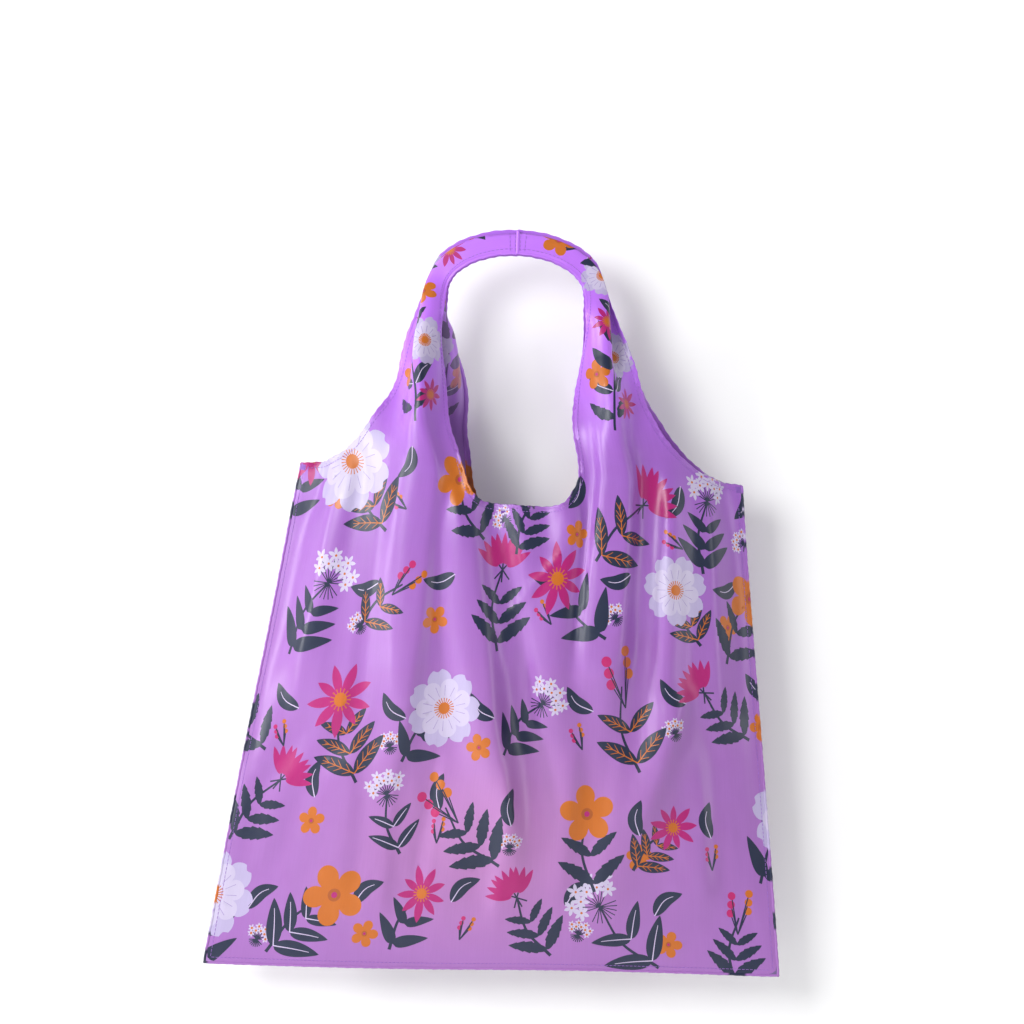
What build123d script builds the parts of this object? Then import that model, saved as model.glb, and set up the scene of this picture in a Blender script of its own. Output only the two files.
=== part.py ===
from build123d import *
import os
from math import atan2, degrees, hypot, sqrt

# A foldable tote bag of thin printed cloth, hanging from a hand by its two handles.
# Each panel is one cut of cloth whose two straps meet in a seam at the top of the handle.
# A flat zipped pouch, into which the whole bag packs, hangs inside the mouth on a tape.
#
# Frame: +Z up, +X across the bag, and the front panel looks along -Y. The origin is the
# middle of the grip, where the two handles lie together in the hand.

# ---------------------------------------------------------------- driving dimensions, mm
CLOTH = 0.8  # solid thickness that stands for the thin cloth
SHOULDER_Z = -199.0  # top of the side seams
BASE_Z = -625.0  # bottom edge
SHOULDER_HALF = 189.0  # half the width across the shoulders, gathered by hanging
BASE_HALF = 247.0  # half the width at the bottom edge
# How far one panel stands out from the middle plane, from the crease down to the bottom.
BELLY = [
    (-150.0, 45.0),
    (-205.0, 46.0),
    (-260.0, 46.0),
    (-320.0, 44.5),
    (-380.0, 41.0),
    (-440.0, 36.0),
    (-500.0, 29.0),
    (-550.0, 20.0),
    (-590.0, 11.0),
    (BASE_Z, 1.5),
]

NECK_Z = -226.0  # lowest line of the mouth
NECK_HALF = 54.0  # half the gap between the two straps
NECK_RADIUS = 26.0  # rounding of the neck's lower corners
HEM = 8.0  # width of the turned hems
SEAM = 5.0  # width of the side and bottom seams

CREASE_Z = -165.0  # line along which a handle folds down
CREASE_Y = 43.0  # distance of that line from the middle plane
CREASE_GAP = 1.0  # clearance on each side of the crease
CREASE_HALF = 129.0  # outer edge of the strap at the crease
ARM_MIDDLE = (151.0, -187.5)  # where the hollow from shoulder to strap passes

GRIP_Z = -45.0  # where the gathered legs turn into the grip arch
GRIP_HALF = 71.0  # half the span of the arch, to the middle of the band
BAND_WIDE = 22.0  # gathered band, across
BAND_Y = 5.2  # middle of each band from the middle plane
# One leg of a handle as cross-sections: height, x and y of its inner edge, x and y of its
# outer edge, thickness at the edges, bow away from the middle plane, and how much fuller
# the middle is than the edges. It starts wide and thin at the crease, and is gathered above.
LEG = [
    (CREASE_Z + CREASE_GAP, NECK_HALF, 41.1, CREASE_HALF, 24.2, 1.0, 2.0, 0.1),
    (-105.0, 56.0, 26.0, 103.0, 15.0, 2.6, 2.5, 0.5),
    (GRIP_Z, GRIP_HALF - BAND_WIDE / 2, BAND_Y, GRIP_HALF + BAND_WIDE / 2, BAND_Y, 7.0, 0.0, 0.7),
]
JOIN_HALF = 5.0  # half the width of the seam at the top of the handle
JOIN_EXTRA = 0.3  # how much fuller the seam is than the band, all round

POUCH_WIDE = 110.0
POUCH_TALL = 115.0
POUCH_GAP = 3.0  # between the two faces of the empty pouch
POUCH_Y = -35.0  # middle of the pouch
POUCH_TOP = -240.0
BINDING = 4.0  # width of the binding round the pouch
TAPE_WIDE = 12.0  # hanging tape
TAPE_THICK = 1.2
SWING_Y, SWING_Z = -43.3, -231.0  # axis on which the tape swings at the mouth hem

ZIP_Z = POUCH_TOP - 15.2  # middle of the zip
ZIP_ROW = 1.6  # height of one row of teeth
ZIP_ROW_THICK = 1.8
ZIP_SLIT = 1.6  # open slit between the two rows
ZIP_TAPE = 8.0  # tape showing on each side of the rows
SLIDER_LONG, SLIDER_TALL, SLIDER_PLATE = 9.0, 8.0, 0.9
SLIDER_CLEAR = 0.4  # between a row of teeth and the slider
SLIDER_X = 43.5  # the slider at rest, with the zip closed
BRIDGE_HALF = 2.4  # half the distance between the bridge's posts
BRIDGE_BAR = 0.9
BRIDGE_WIDE = 1.4
BRIDGE_ROOM = 1.6  # height of the opening under the bridge
PULL_LONG, PULL_WIDE, PULL_THICK = 22.0, 6.0, 1.0
PULL_PIN = 0.55  # radius of the pull's cross pin
PULL_EYE = 1.3  # radius of the hole for a cord at the pull's end

LABEL_WIDE, LABEL_TALL, LABEL_THICK = 28.0, 40.0, 0.4
TACK_WIDE, TACK_TALL, TACK_THICK = 4.0, 1.5, 3.0

REACH = 120.0  # half the depth of a cut that goes right through the bag

os.makedirs("parts", exist_ok=True)


def save(piece, label):
    """Labels a finished sub-part and writes it as its own file."""
    piece.part.label = label
    export_step(piece.part, f"parts/{label}.step")


def half_width(z):
    """Half the bag's width at height z."""
    share = max(0.0, (SHOULDER_Z - z) / (SHOULDER_Z - BASE_Z))
    return SHOULDER_HALF + (BASE_HALF - SHOULDER_HALF) * share


# ---------------------------------------------------------------- the bag's form
def belly(side, inset=0.0):
    """One half of the bag's form as a solid, on the front (side -1) or the back (side 1),
    lying inset inside the outer face. Each section is an arc closed by the middle plane."""
    with BuildPart() as form:
        for z, depth in BELLY:
            if depth <= inset:
                continue
            half = half_width(z)
            radius = (half**2 + depth**2) / (2 * depth)
            inner_depth = depth - inset
            inner_half = sqrt(inner_depth * (2 * radius - inset - depth))
            with BuildSketch(Plane.XY.offset(z)):
                with BuildLine():
                    ThreePointArc((-inner_half, 0), (0, side * inner_depth), (inner_half, 0))
                    Line((inner_half, 0), (-inner_half, 0))
                make_face()
        loft(ruled=True)
    return form.part


def neck_opening():
    """The U-shaped mouth between the straps, as a face in the front view."""
    with BuildSketch(Plane.XZ) as neck:
        with BuildLine():
            top = CREASE_Z + HEM
            corner = NECK_Z + NECK_RADIUS
            Polyline((0, top), (NECK_HALF, top), (NECK_HALF, corner))
            RadiusArc((NECK_HALF, corner), (NECK_HALF - NECK_RADIUS, NECK_Z), NECK_RADIUS)
            Line((NECK_HALF - NECK_RADIUS, NECK_Z), (0, NECK_Z))
            mirror(about=Plane.YZ)
        make_face()
    return neck.sketch


def arm_opening(side):
    """The hollow outside one strap, from the shoulder up past the crease."""
    with BuildSketch(Plane.XZ) as arm:
        with BuildLine():
            ThreePointArc(
                (side * (SHOULDER_HALF + 1), SHOULDER_Z),
                (side * ARM_MIDDLE[0], ARM_MIDDLE[1]),
                (side * CREASE_HALF, CREASE_Z),
            )
            Polyline(
                (side * CREASE_HALF, CREASE_Z),
                (side * CREASE_HALF, CREASE_Z + 2 * HEM),
                (side * (SHOULDER_HALF + 40), CREASE_Z + 2 * HEM),
                (side * (SHOULDER_HALF + 40), SHOULDER_Z),
                (side * (SHOULDER_HALF + 1), SHOULDER_Z),
            )
        make_face()
    return arm.sketch


def body_outline(seam):
    """The front view of one panel below the crease, less a seam of that width on three sides."""
    with BuildSketch(Plane.XZ) as outline:
        low = BASE_Z + seam
        with BuildLine():
            Polyline(
                (0, low),
                (half_width(low) - seam, low),
                (SHOULDER_HALF - seam, SHOULDER_Z),
                (SHOULDER_HALF - seam, CREASE_Z - CREASE_GAP),
                (0, CREASE_Z - CREASE_GAP),
            )
            mirror(about=Plane.YZ)
        make_face()
        add(neck_opening(), mode=Mode.SUBTRACT)
        for side in (-1, 1):
            add(arm_opening(side), mode=Mode.SUBTRACT)
    return outline.sketch


NECK = neck_opening()
ARMS = {"left": arm_opening(-1), "right": arm_opening(1)}
PANEL = body_outline(SEAM)


def panel(side):
    """The cloth of one panel below the crease."""
    with BuildPart() as cloth:
        add(belly(side))
        add(belly(side, CLOTH), mode=Mode.SUBTRACT)
        extrude(PANEL, amount=REACH, both=True, mode=Mode.INTERSECT)
    return cloth


def turned_hem(side, opening):
    """The hem turned in along an opening: a second layer of cloth on the panel's inner face."""
    with BuildPart() as hem:
        add(belly(side, CLOTH))
        add(belly(side, 2 * CLOTH), mode=Mode.SUBTRACT)
        with BuildSketch(Plane.XZ) as band:
            add(opening)
            offset(amount=HEM)
            add(PANEL, mode=Mode.INTERSECT)
        extrude(band.sketch, amount=REACH, both=True, mode=Mode.INTERSECT)
    return hem


for face, side in (("front", -1), ("back", 1)):
    save(panel(side), f"{face}_panel")
    save(turned_hem(side, NECK), f"{face}_mouth_hem")
    for hand, opening in ARMS.items():
        save(turned_hem(side, opening), f"{face}_{hand}_arm_hem")

# ---------------------------------------------------------------- seams that join the panels
for hand, side in (("left", -1), ("right", 1)):
    with BuildPart() as side_seam:
        add(belly(-1))
        add(belly(1))
        with BuildSketch(Plane.XZ) as strip:
            low = BASE_Z + SEAM
            with BuildLine():
                Polyline(
                    (side * (half_width(low) - SEAM), low),
                    (side * (half_width(low) + SEAM), low),
                    (side * (SHOULDER_HALF + SEAM), SHOULDER_Z),
                    (side * (SHOULDER_HALF - SEAM), SHOULDER_Z),
                    close=True,
                )
            make_face()
        extrude(strip.sketch, amount=REACH, both=True, mode=Mode.INTERSECT)
    save(side_seam, f"{hand}_side_seam")

with BuildPart() as bottom_seam:
    add(belly(-1))
    add(belly(1))
    with BuildSketch(Plane.XZ) as strip:
        with Locations((0, BASE_Z + SEAM / 2)):
            Rectangle(3 * BASE_HALF, SEAM)
    extrude(strip.sketch, amount=REACH, both=True, mode=Mode.INTERSECT)
save(bottom_seam, "bottom_seam")

# A thread bar tack locks the top end of each side seam.
with BuildPart() as shoulder_tacks:
    for side in (-1, 1):
        with Locations((side * (SHOULDER_HALF - TACK_WIDE / 2 - 1), 0, SHOULDER_Z + TACK_TALL / 2)):
            Box(TACK_WIDE, TACK_THICK, TACK_TALL)
save(shoulder_tacks, "shoulder_tacks")

# The blank care label is caught in the left side seam and lies inside the bag.
LABEL_LOW = -500.0
with BuildPart() as care_label:
    with BuildSketch(Plane.XZ):
        with BuildLine():
            Polyline(
                (SEAM - half_width(LABEL_LOW), LABEL_LOW),
                (SEAM - half_width(LABEL_LOW) + LABEL_WIDE, LABEL_LOW),
                (SEAM - half_width(LABEL_LOW + LABEL_TALL) + LABEL_WIDE, LABEL_LOW + LABEL_TALL),
                (SEAM - half_width(LABEL_LOW + LABEL_TALL), LABEL_LOW + LABEL_TALL),
                close=True,
            )
        make_face()
    extrude(amount=LABEL_THICK / 2, both=True)
save(care_label, "care_label")

# ---------------------------------------------------------------- handles
def leg_section(face, hand, z, x_in, y_in, x_out, y_out, thick, bow, full):
    """One cross-section of a leg, from the values of a row of LEG."""
    inner = Vector(x_in, y_in)
    outer = Vector(x_out, y_out)
    along = (outer - inner).normalized()
    away = Vector(-along.Y, along.X)
    middle = (inner + outer) / 2 + away * bow
    rim = away * (thick / 2)
    crown = away * (thick / 2 + full)
    corners = [inner + rim, middle + crown, outer + rim, outer - rim, middle - crown, inner - rim]
    points = [(hand * corner.X, face * corner.Y) for corner in corners]
    with BuildSketch(Plane.XY.offset(z)) as section:
        with BuildLine():
            ThreePointArc(points[0], points[1], points[2])
            Line(points[2], points[3])
            ThreePointArc(points[3], points[4], points[5])
            Line(points[5], points[0])
        make_face()
    return section.sketch


def strap(face, hand):
    """One strap above the crease: its leg, and its half of the grip arch up to the seam."""
    with BuildPart() as piece:
        for row in LEG:
            add(leg_section(face, hand, *row))
        loft()
        with BuildLine(Plane.XZ.offset(-face * BAND_Y)) as arch:
            EllipticalCenterArc((0, GRIP_Z), GRIP_HALF, -GRIP_Z, arc_size=90)
        path = arch.line if hand > 0 else mirror(arch.line, about=Plane.YZ)
        sweep(leg_section(face, hand, *LEG[-1]), path=path)
        split(bisect_by=Plane.YZ.offset(hand * JOIN_HALF), keep=Keep.TOP if hand > 0 else Keep.BOTTOM)
    return piece


def handle_join(face):
    """The seam that joins the two straps at the top of one handle."""
    thick, full = LEG[-1][5], LEG[-1][7]
    with BuildPart() as piece:
        with BuildSketch(Plane.YZ.offset(-JOIN_HALF)):
            with Locations((face * BAND_Y, 0)):
                RectangleRounded(thick + 2 * (full + JOIN_EXTRA), BAND_WIDE + 2 * JOIN_EXTRA, 1.5)
        extrude(amount=2 * JOIN_HALF)
    return piece


for face, front in (("front", -1), ("back", 1)):
    for hand, side in (("left", -1), ("right", 1)):
        save(strap(front, side), f"{face}_{hand}_strap")
    save(handle_join(front), f"{face}_handle_join")

# ---------------------------------------------------------------- stow pouch
POUCH_MID = POUCH_TOP - POUCH_TALL / 2
FACE_WIDE = POUCH_WIDE - 2 * BINDING
FACE_LOW = POUCH_TOP - POUCH_TALL + BINDING
FACE_HIGH = POUCH_TOP - BINDING
ZIP_Y = POUCH_Y + (POUCH_GAP + CLOTH) / 2  # middle of the zip's tapes and of the inner face
TAPE_EDGE = ZIP_SLIT / 2 + ZIP_ROW  # from the zip's middle to where a tape starts
ZIP_LOW = ZIP_Z - TAPE_EDGE - ZIP_TAPE

# The binding is one frame round the pouch and closes the gap between its faces.
with BuildPart() as pouch_binding:
    with BuildSketch(Plane.XZ.offset(-POUCH_Y)):
        with Locations((0, POUCH_MID)):
            RectangleRounded(POUCH_WIDE, POUCH_TALL, BINDING)
            Rectangle(FACE_WIDE, POUCH_TALL - 2 * BINDING, mode=Mode.SUBTRACT)
    extrude(amount=POUCH_GAP / 2 + CLOTH, both=True)
save(pouch_binding, "pouch_binding")


def flat_cloth(y_mid, low, high, thick=CLOTH):
    """A rectangle of cloth or tape as wide as the pouch's faces."""
    with BuildPart() as cloth:
        with Locations((0, y_mid, (low + high) / 2)):
            Box(FACE_WIDE, thick, high - low)
    return cloth


save(flat_cloth(POUCH_Y - (POUCH_GAP + CLOTH) / 2, FACE_LOW, FACE_HIGH), "pouch_front")
save(flat_cloth(ZIP_Y, FACE_LOW, ZIP_LOW), "pouch_back")
save(flat_cloth(ZIP_Y, ZIP_LOW, ZIP_Z - TAPE_EDGE), "zip_tape_lower")
save(flat_cloth(ZIP_Y, ZIP_Z + TAPE_EDGE, FACE_HIGH), "zip_tape_upper")
for name, low in (("upper", ZIP_SLIT / 2), ("lower", -ZIP_SLIT / 2 - ZIP_ROW)):
    save(flat_cloth(ZIP_Y, ZIP_Z + low, ZIP_Z + low + ZIP_ROW, ZIP_ROW_THICK), f"zip_row_{name}")

# A stop is clamped over the slit at each end of the zip.
STOP_LONG, STOP_TALL, STOP_THICK = 2.4, 5.6, 0.8
with BuildPart() as zip_stops:
    for side in (-1, 1):
        with Locations((side * (FACE_WIDE / 2 - STOP_LONG / 2), ZIP_Y + (ZIP_ROW_THICK + STOP_THICK) / 2, ZIP_Z)):
            Box(STOP_LONG, STOP_THICK, STOP_TALL)
save(zip_stops, "zip_stops")

# The tape hangs the pouch from the mouth hem. Its upper end is round, on the swing axis.
with BuildPart() as pouch_tape:
    with BuildSketch(Plane.YZ.offset(-TAPE_WIDE / 2)):
        foot = (POUCH_Y, POUCH_TOP - TAPE_THICK)
        lean = degrees(atan2(foot[1] - SWING_Z, foot[0] - SWING_Y))
        with Locations(((SWING_Y + foot[0]) / 2, (SWING_Z + foot[1]) / 2)):
            long = hypot(foot[0] - SWING_Y, foot[1] - SWING_Z)
            SlotCenterToCenter(long, TAPE_THICK, rotation=lean)
    extrude(amount=TAPE_WIDE)
    split(bisect_by=Plane.XY.offset(POUCH_TOP), keep=Keep.TOP)
save(pouch_tape, "pouch_tape")

# ---------------------------------------------------------------- zip slider and pull
PLATE_Y = ZIP_ROW_THICK / 2 + SLIDER_CLEAR  # inner face of a plate, from the zip's plane
OUTER_FACE = ZIP_Y + PLATE_Y + SLIDER_PLATE
PIN_Y = OUTER_FACE + BRIDGE_ROOM / 2  # the pull's hinge, under the bridge
FLANGE = 0.6
FLANGE_CLEAR = 0.35  # between a flange and the zip's tape

with BuildPart() as zip_slider:
    for side in (-1, 1):
        with Locations((SLIDER_X, ZIP_Y + side * (PLATE_Y + SLIDER_PLATE / 2), ZIP_Z)):
            Box(SLIDER_LONG, SLIDER_PLATE, SLIDER_TALL)
        # Flanges along the plate's edges keep the rows of teeth in the slider.
        flange_low = CLOTH / 2 + FLANGE_CLEAR
        for edge in (-1, 1):
            flange_mid = side * (flange_low + PLATE_Y) / 2
            with Locations((SLIDER_X, ZIP_Y + flange_mid, ZIP_Z + edge * (SLIDER_TALL - FLANGE) / 2)):
                Box(SLIDER_LONG, PLATE_Y - flange_low, FLANGE)
    # The post between the plates parts the two rows.
    with Locations((SLIDER_X, ZIP_Y, ZIP_Z)):
        Box(4, 2 * PLATE_Y, ZIP_SLIT - 0.6)
    # The bridge holds the pull.
    for end in (-1, 1):
        with Locations((SLIDER_X + end * BRIDGE_HALF, PIN_Y, ZIP_Z)):
            Box(BRIDGE_BAR, BRIDGE_ROOM, BRIDGE_WIDE)
    with Locations((SLIDER_X, OUTER_FACE + BRIDGE_ROOM + BRIDGE_BAR / 2, ZIP_Z)):
        Box(2 * BRIDGE_HALF + BRIDGE_BAR, BRIDGE_BAR, BRIDGE_WIDE)
    fillet(zip_slider.edges().group_by(Axis.Y)[-1], 0.3)
save(zip_slider, "zip_slider")

CHEEK_IN = BRIDGE_WIDE / 2 + 0.4  # the pull's cheeks pass each side of the bridge
PULL_START = hypot(BRIDGE_HALF + BRIDGE_BAR / 2, BRIDGE_ROOM / 2 + BRIDGE_BAR) + 0.3
with BuildPart() as zip_pull:
    with BuildSketch(Plane.XZ.offset(-PIN_Y)):
        with Locations((SLIDER_X - PULL_LONG / 2, ZIP_Z)):
            SlotOverall(PULL_LONG, PULL_WIDE)
        with Locations((SLIDER_X, ZIP_Z)):
            Rectangle(2 * PULL_START, 2 * CHEEK_IN, mode=Mode.SUBTRACT)
        with Locations((SLIDER_X + PULL_WIDE / 2, ZIP_Z)):
            Rectangle(PULL_WIDE, 2 * PULL_WIDE, mode=Mode.SUBTRACT)
        with Locations((SLIDER_X - PULL_LONG + PULL_WIDE / 2, ZIP_Z)):
            Circle(PULL_EYE, mode=Mode.SUBTRACT)
    extrude(amount=PULL_THICK / 2, both=True)
    with BuildSketch(Plane.XY.offset(ZIP_Z - 2.4)):
        with Locations((SLIDER_X, PIN_Y)):
            Circle(PULL_PIN)
    extrude(amount=4.8)
save(zip_pull, "zip_pull")
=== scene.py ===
"""A foldable tote bag of thin printed cloth, hanging from its grip.

Lengths in the pattern, the cloth and the print are in millimetres; every object is in metres.
"""

import math

import bpy
import numpy as np
from mathutils import Matrix, Vector
from mathutils.geometry import delaunay_2d_cdt


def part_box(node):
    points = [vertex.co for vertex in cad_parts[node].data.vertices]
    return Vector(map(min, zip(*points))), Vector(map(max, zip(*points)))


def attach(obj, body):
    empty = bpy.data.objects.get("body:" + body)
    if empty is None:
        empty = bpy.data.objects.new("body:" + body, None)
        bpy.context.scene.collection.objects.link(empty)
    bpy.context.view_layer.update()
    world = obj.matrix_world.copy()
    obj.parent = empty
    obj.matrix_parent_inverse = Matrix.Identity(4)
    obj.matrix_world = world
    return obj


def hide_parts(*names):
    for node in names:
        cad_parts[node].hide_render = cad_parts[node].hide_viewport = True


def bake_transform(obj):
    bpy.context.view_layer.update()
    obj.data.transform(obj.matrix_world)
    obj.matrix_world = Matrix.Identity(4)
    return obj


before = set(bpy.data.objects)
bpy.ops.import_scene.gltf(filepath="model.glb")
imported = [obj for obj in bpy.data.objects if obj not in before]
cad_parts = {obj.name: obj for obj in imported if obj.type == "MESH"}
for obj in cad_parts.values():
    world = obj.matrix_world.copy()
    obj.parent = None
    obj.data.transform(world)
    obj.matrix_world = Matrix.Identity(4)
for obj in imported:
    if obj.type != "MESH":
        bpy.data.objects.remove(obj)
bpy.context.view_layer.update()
MM = 0.001


# ------------------------------------------------------------------ the frame's heights
def node_mm(name):
    """A node's lowest and highest corners in millimetres."""
    low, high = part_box(name)
    return np.array(low) / MM, np.array(high) / MM


BASE_Z = node_mm("bottom_seam")[0][2]
BASE_HALF = node_mm("bottom_seam")[1][0]
SHOULDER_Z = node_mm("right_side_seam")[1][2]
SHOULDER_HALF = 189.0
CREASE_Z = node_mm("front_panel")[1][2] + 1.0
GRIP_Z = -45.0
GRIP_HALF = 71.0
BACK_SHIFT = 12.0  # the back handle hangs a little to the right of the front one
BAND_HALF = 11.0
PANEL_DEPTH = -node_mm("front_panel")[0][1]
PROUD = 8.0  # how far a fold may stand out of that depth

# ------------------------------------------------------------------ the flat pattern
# One panel as it is cut: x across from the middle, v up from the bottom edge.
CUT_HALF = 250.0
CUT_SIDE = 430.0
SHOULDER_CUT = 222.0  # the sides are cut a little narrower towards the shoulders
CUT_TOP = 684.0
CUT_GRIP = 588.0  # above this the strap lies gathered in the grip
CUT_CREASE = CUT_SIDE + (CREASE_Z - SHOULDER_Z)
ARM_EDGE = [
    (250, 430), (222, 433), (196, 442), (176, 457), (163, 478),
    (154, 505), (149, 540), (147, 588), (145, 684),
]
NECK_EDGE = [(80, 684), (78, 588), (75, 540), (73, 500), (71, 460), (66, 430), (54, 412), (34, 404), (0, 403)]


def smooth_line(points, step):
    """Points along a curve through the given ones, about a step apart (Catmull-Rom)."""
    pts = np.array(points, float)
    pts = np.vstack([2 * pts[0] - pts[1], pts, 2 * pts[-1] - pts[-2]])
    out = []
    for a, b, c, d in zip(pts, pts[1:], pts[2:], pts[3:]):
        n = max(1, int(round(np.linalg.norm(c - b) / step)))
        t = np.arange(n)[:, None] / n
        square, cube = 2 * a - 5 * b + 4 * c - d, 3 * b - a - 3 * c + d
        out.append(0.5 * (2 * b + (c - a) * t + square * t**2 + cube * t**3))
    return np.vstack(out + [pts[-2][None]])


def unit(rows):
    """Vectors made one long."""
    return rows / (np.linalg.norm(rows, axis=1)[:, None] + 1e-9)


def way_of(line):
    """The direction of a line at each of its points."""
    return unit(np.gradient(line, axis=0))


def left_of(line):
    """The direction to the left of a flat line at each of its points."""
    way = way_of(line)
    return np.stack([-way[:, 1], way[:, 0]], 1)


def run_of(line):
    """How far along a line each of its points is."""
    return np.concatenate([[0], np.cumsum(np.linalg.norm(np.diff(line, axis=0), axis=1))])


ARM_LINE = smooth_line(ARM_EDGE, 3.0)
NECK_LINE = smooth_line(NECK_EDGE, 3.0)


def pattern_outline():
    """The whole outline of one panel, anticlockwise from the middle of the bottom edge."""
    bottom = [(x, 0.0) for x in np.arange(0, CUT_HALF, 3.0)]
    side = [(CUT_HALF, v) for v in np.arange(0, CUT_SIDE, 3.0)]
    top = [(x, CUT_TOP) for x in np.arange(145, 80, -3.0)][1:]
    right = bottom + side + [tuple(p) for p in ARM_LINE] + top + [tuple(p) for p in NECK_LINE]
    left = [(-x, v) for x, v in reversed(right[1:-1])]
    return right + left


def strap_edges(v):
    """Inner and outer edge of the strap at a height of the pattern, or None below the neck."""
    inner = np.interp(v, NECK_LINE[::-1, 1], NECK_LINE[::-1, 0])
    outer = np.interp(v, ARM_LINE[:, 1], ARM_LINE[:, 0])
    return inner, outer


# Where the pattern's columns hang: a height on the pattern, three cut places across it, where they hang.
HANG = [
    (0.0, (66, 150, 250), (65, 149, 247)),
    (200.0, (68, 152, 250), (60, 139, 219.8)),
    (403.0, (70, 156, 250), (52, 126, 192.5)),
    (430.0, (71, 158, 250), (53, 126, 189)),
    (CUT_CREASE, (72, 168, 250), (54, 129, 188)),
    (530.0, (75, 150, 250), (56, 104, 160)),
    (CUT_GRIP, (78, 147, 250), (60, 82, 140)),
]


def eased(share):
    """A share held between 0 and 1, starting and ending softly."""
    share = np.clip(share, 0, 1)
    return share * share * (3 - 2 * share)


def lens_depth(z):
    """How far the panel's middle stands out at a height, as the CAD form does."""
    at = [BASE_Z, -590, -550, -500, -440, -380, -320, -260, -205, -150]
    return np.interp(z, at, [1.5, 11, 20, 29, 36, 41, 44.5, 46, 46, 45])


def hung_guess(x, v, face):
    """A first shape: the pattern's columns drawn in to the straps, on the belly's form."""
    side = np.sign(x) + (x == 0)
    across = np.abs(x)
    z = np.where(v < CUT_SIDE, BASE_Z + v * (SHOULDER_Z - BASE_Z) / CUT_SIDE, 0.0)
    neck_slope = (CREASE_Z - SHOULDER_Z) / (CUT_CREASE - CUT_SIDE)
    z = np.where(v >= CUT_SIDE, SHOULDER_Z + (v - CUT_SIDE) * neck_slope, z)
    strap_slope = (GRIP_Z - CREASE_Z) / (CUT_GRIP - CUT_CREASE)
    z = np.where(v >= CUT_CREASE, CREASE_Z + (v - CUT_CREASE) * strap_slope, z)
    heights = [row[0] for row in HANG]
    cut = [np.interp(v, heights, [row[1][k] for row in HANG]) for k in range(3)]
    at = [np.interp(v, heights, [row[2][k] for row in HANG]) for k in range(3)]
    hung = np.where(across <= cut[0], across / cut[0] * at[0], 0.0)
    mid = (across > cut[0]) & (across <= cut[1])
    hung = np.where(mid, at[0] + (across - cut[0]) / (cut[1] - cut[0]) * (at[1] - at[0]), hung)
    hung = np.where(across > cut[1], at[1] + (across - cut[1]) / (cut[2] - cut[1]) * (at[2] - at[1]), hung)
    half = np.interp(z, [BASE_Z, SHOULDER_Z], [BASE_HALF, SHOULDER_HALF])
    depth = lens_depth(z)
    radius = (half**2 + depth**2) / (2 * depth)
    out = np.sqrt(np.maximum(radius**2 - np.minimum(hung, half) ** 2, 0)) - (radius - depth)
    rise = np.clip((z - CREASE_Z) / (GRIP_Z - CREASE_Z), 0, 1)
    out = np.maximum(out, 1.0) * (1 - rise) + 5.2 * rise
    return np.stack([side * hung, face * out, z], axis=-1)


def gathered(x, v, face):
    """The strap folded in three in the grip, along the arch of the handle."""
    side = np.sign(x) + (x == 0)
    inner, outer = strap_edges(v)
    u = np.clip((np.abs(x) - inner) / (outer - inner), -0.1, 1.1)
    turn = np.clip((v - CUT_GRIP) / (CUT_TOP - CUT_GRIP), 0, 1) * math.pi / 2
    zig = np.abs(((3 * u + 1) % 2) - 1)
    across = BAND_HALF * (2 * zig - 1) * 0.96
    centre_x = GRIP_HALF * np.cos(turn)
    centre_z = GRIP_Z - GRIP_Z * np.sin(turn)
    nx, nz = np.cos(turn) * -GRIP_Z, np.sin(turn) * GRIP_HALF
    size = np.hypot(nx, nz)
    below = np.minimum(v - CUT_GRIP, 0)
    out = 8.4 - 6.2 * u
    high = centre_z + across * nz / size + below
    return np.stack([side * (centre_x + across * nx / size), face * out, high], axis=-1)


GATHER_START = (425.0, 470.0)  # where the left and the right strap start to fold up


def first_shape(x, v, face):
    """The panel's first shape, its straps folding up into their gathers."""
    start = np.where(x < 0, *GATHER_START)
    share = eased((v - start) / (CUT_GRIP - start))[..., None]
    p = hung_guess(x, v, face) * (1 - share) + gathered(x, v, face) * share
    if face > 0:
        rise = np.clip((p[..., 2] + 255) / (255 + GRIP_Z), 0, 1)
        p[..., 0] += BACK_SHIFT * np.sin(np.pi * rise) ** 2 * (v > 330)
    return p


# Soft folds that start the cloth buckling where the real one does, front then back:
# the fold's line from top to bottom (x, z), its half width, and how far it stands out.
FOLDS = {
    -1: [
        ((-78, -90), (-88, -440), 15, 13),
        ((-112, -150), (-128, -380), 13, 8),
        ((-62, -160), (-62, -330), 10, -9),
        ((-52, -200), (14, -520), 15, 12),
        ((-30, -225), (30, -500), 13, -13),
        ((84, -100), (88, -440), 15, 14),
        ((66, -200), (60, -380), 9, -14),
        ((45, -230), (44, -420), 13, 8),
        ((108, -150), (110, -420), 11, -9),
        ((130, -200), (133, -440), 15, 10),
        ((-150, -205), (-182, -400), 14, 7),
        ((158, -210), (185, -420), 14, 7),
        ((150, -390), (118, -520), 14, 6),
        ((-50, -440), (-57, -570), 10, -6),
    ],
    1: [
        ((-82, -90), (-96, -460), 16, 13),
        ((-60, -180), (-50, -420), 11, -11),
        ((-20, -240), (-26, -520), 18, 9),
        ((22, -230), (40, -480), 12, -11),
        ((80, -100), (84, -500), 15, 13),
        ((108, -150), (120, -430), 12, -10),
        ((140, -200), (160, -420), 15, 9),
        ((-120, -160), (-140, -430), 12, -9),
        ((-152, -210), (-186, -420), 14, 8),
    ],
}


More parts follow.
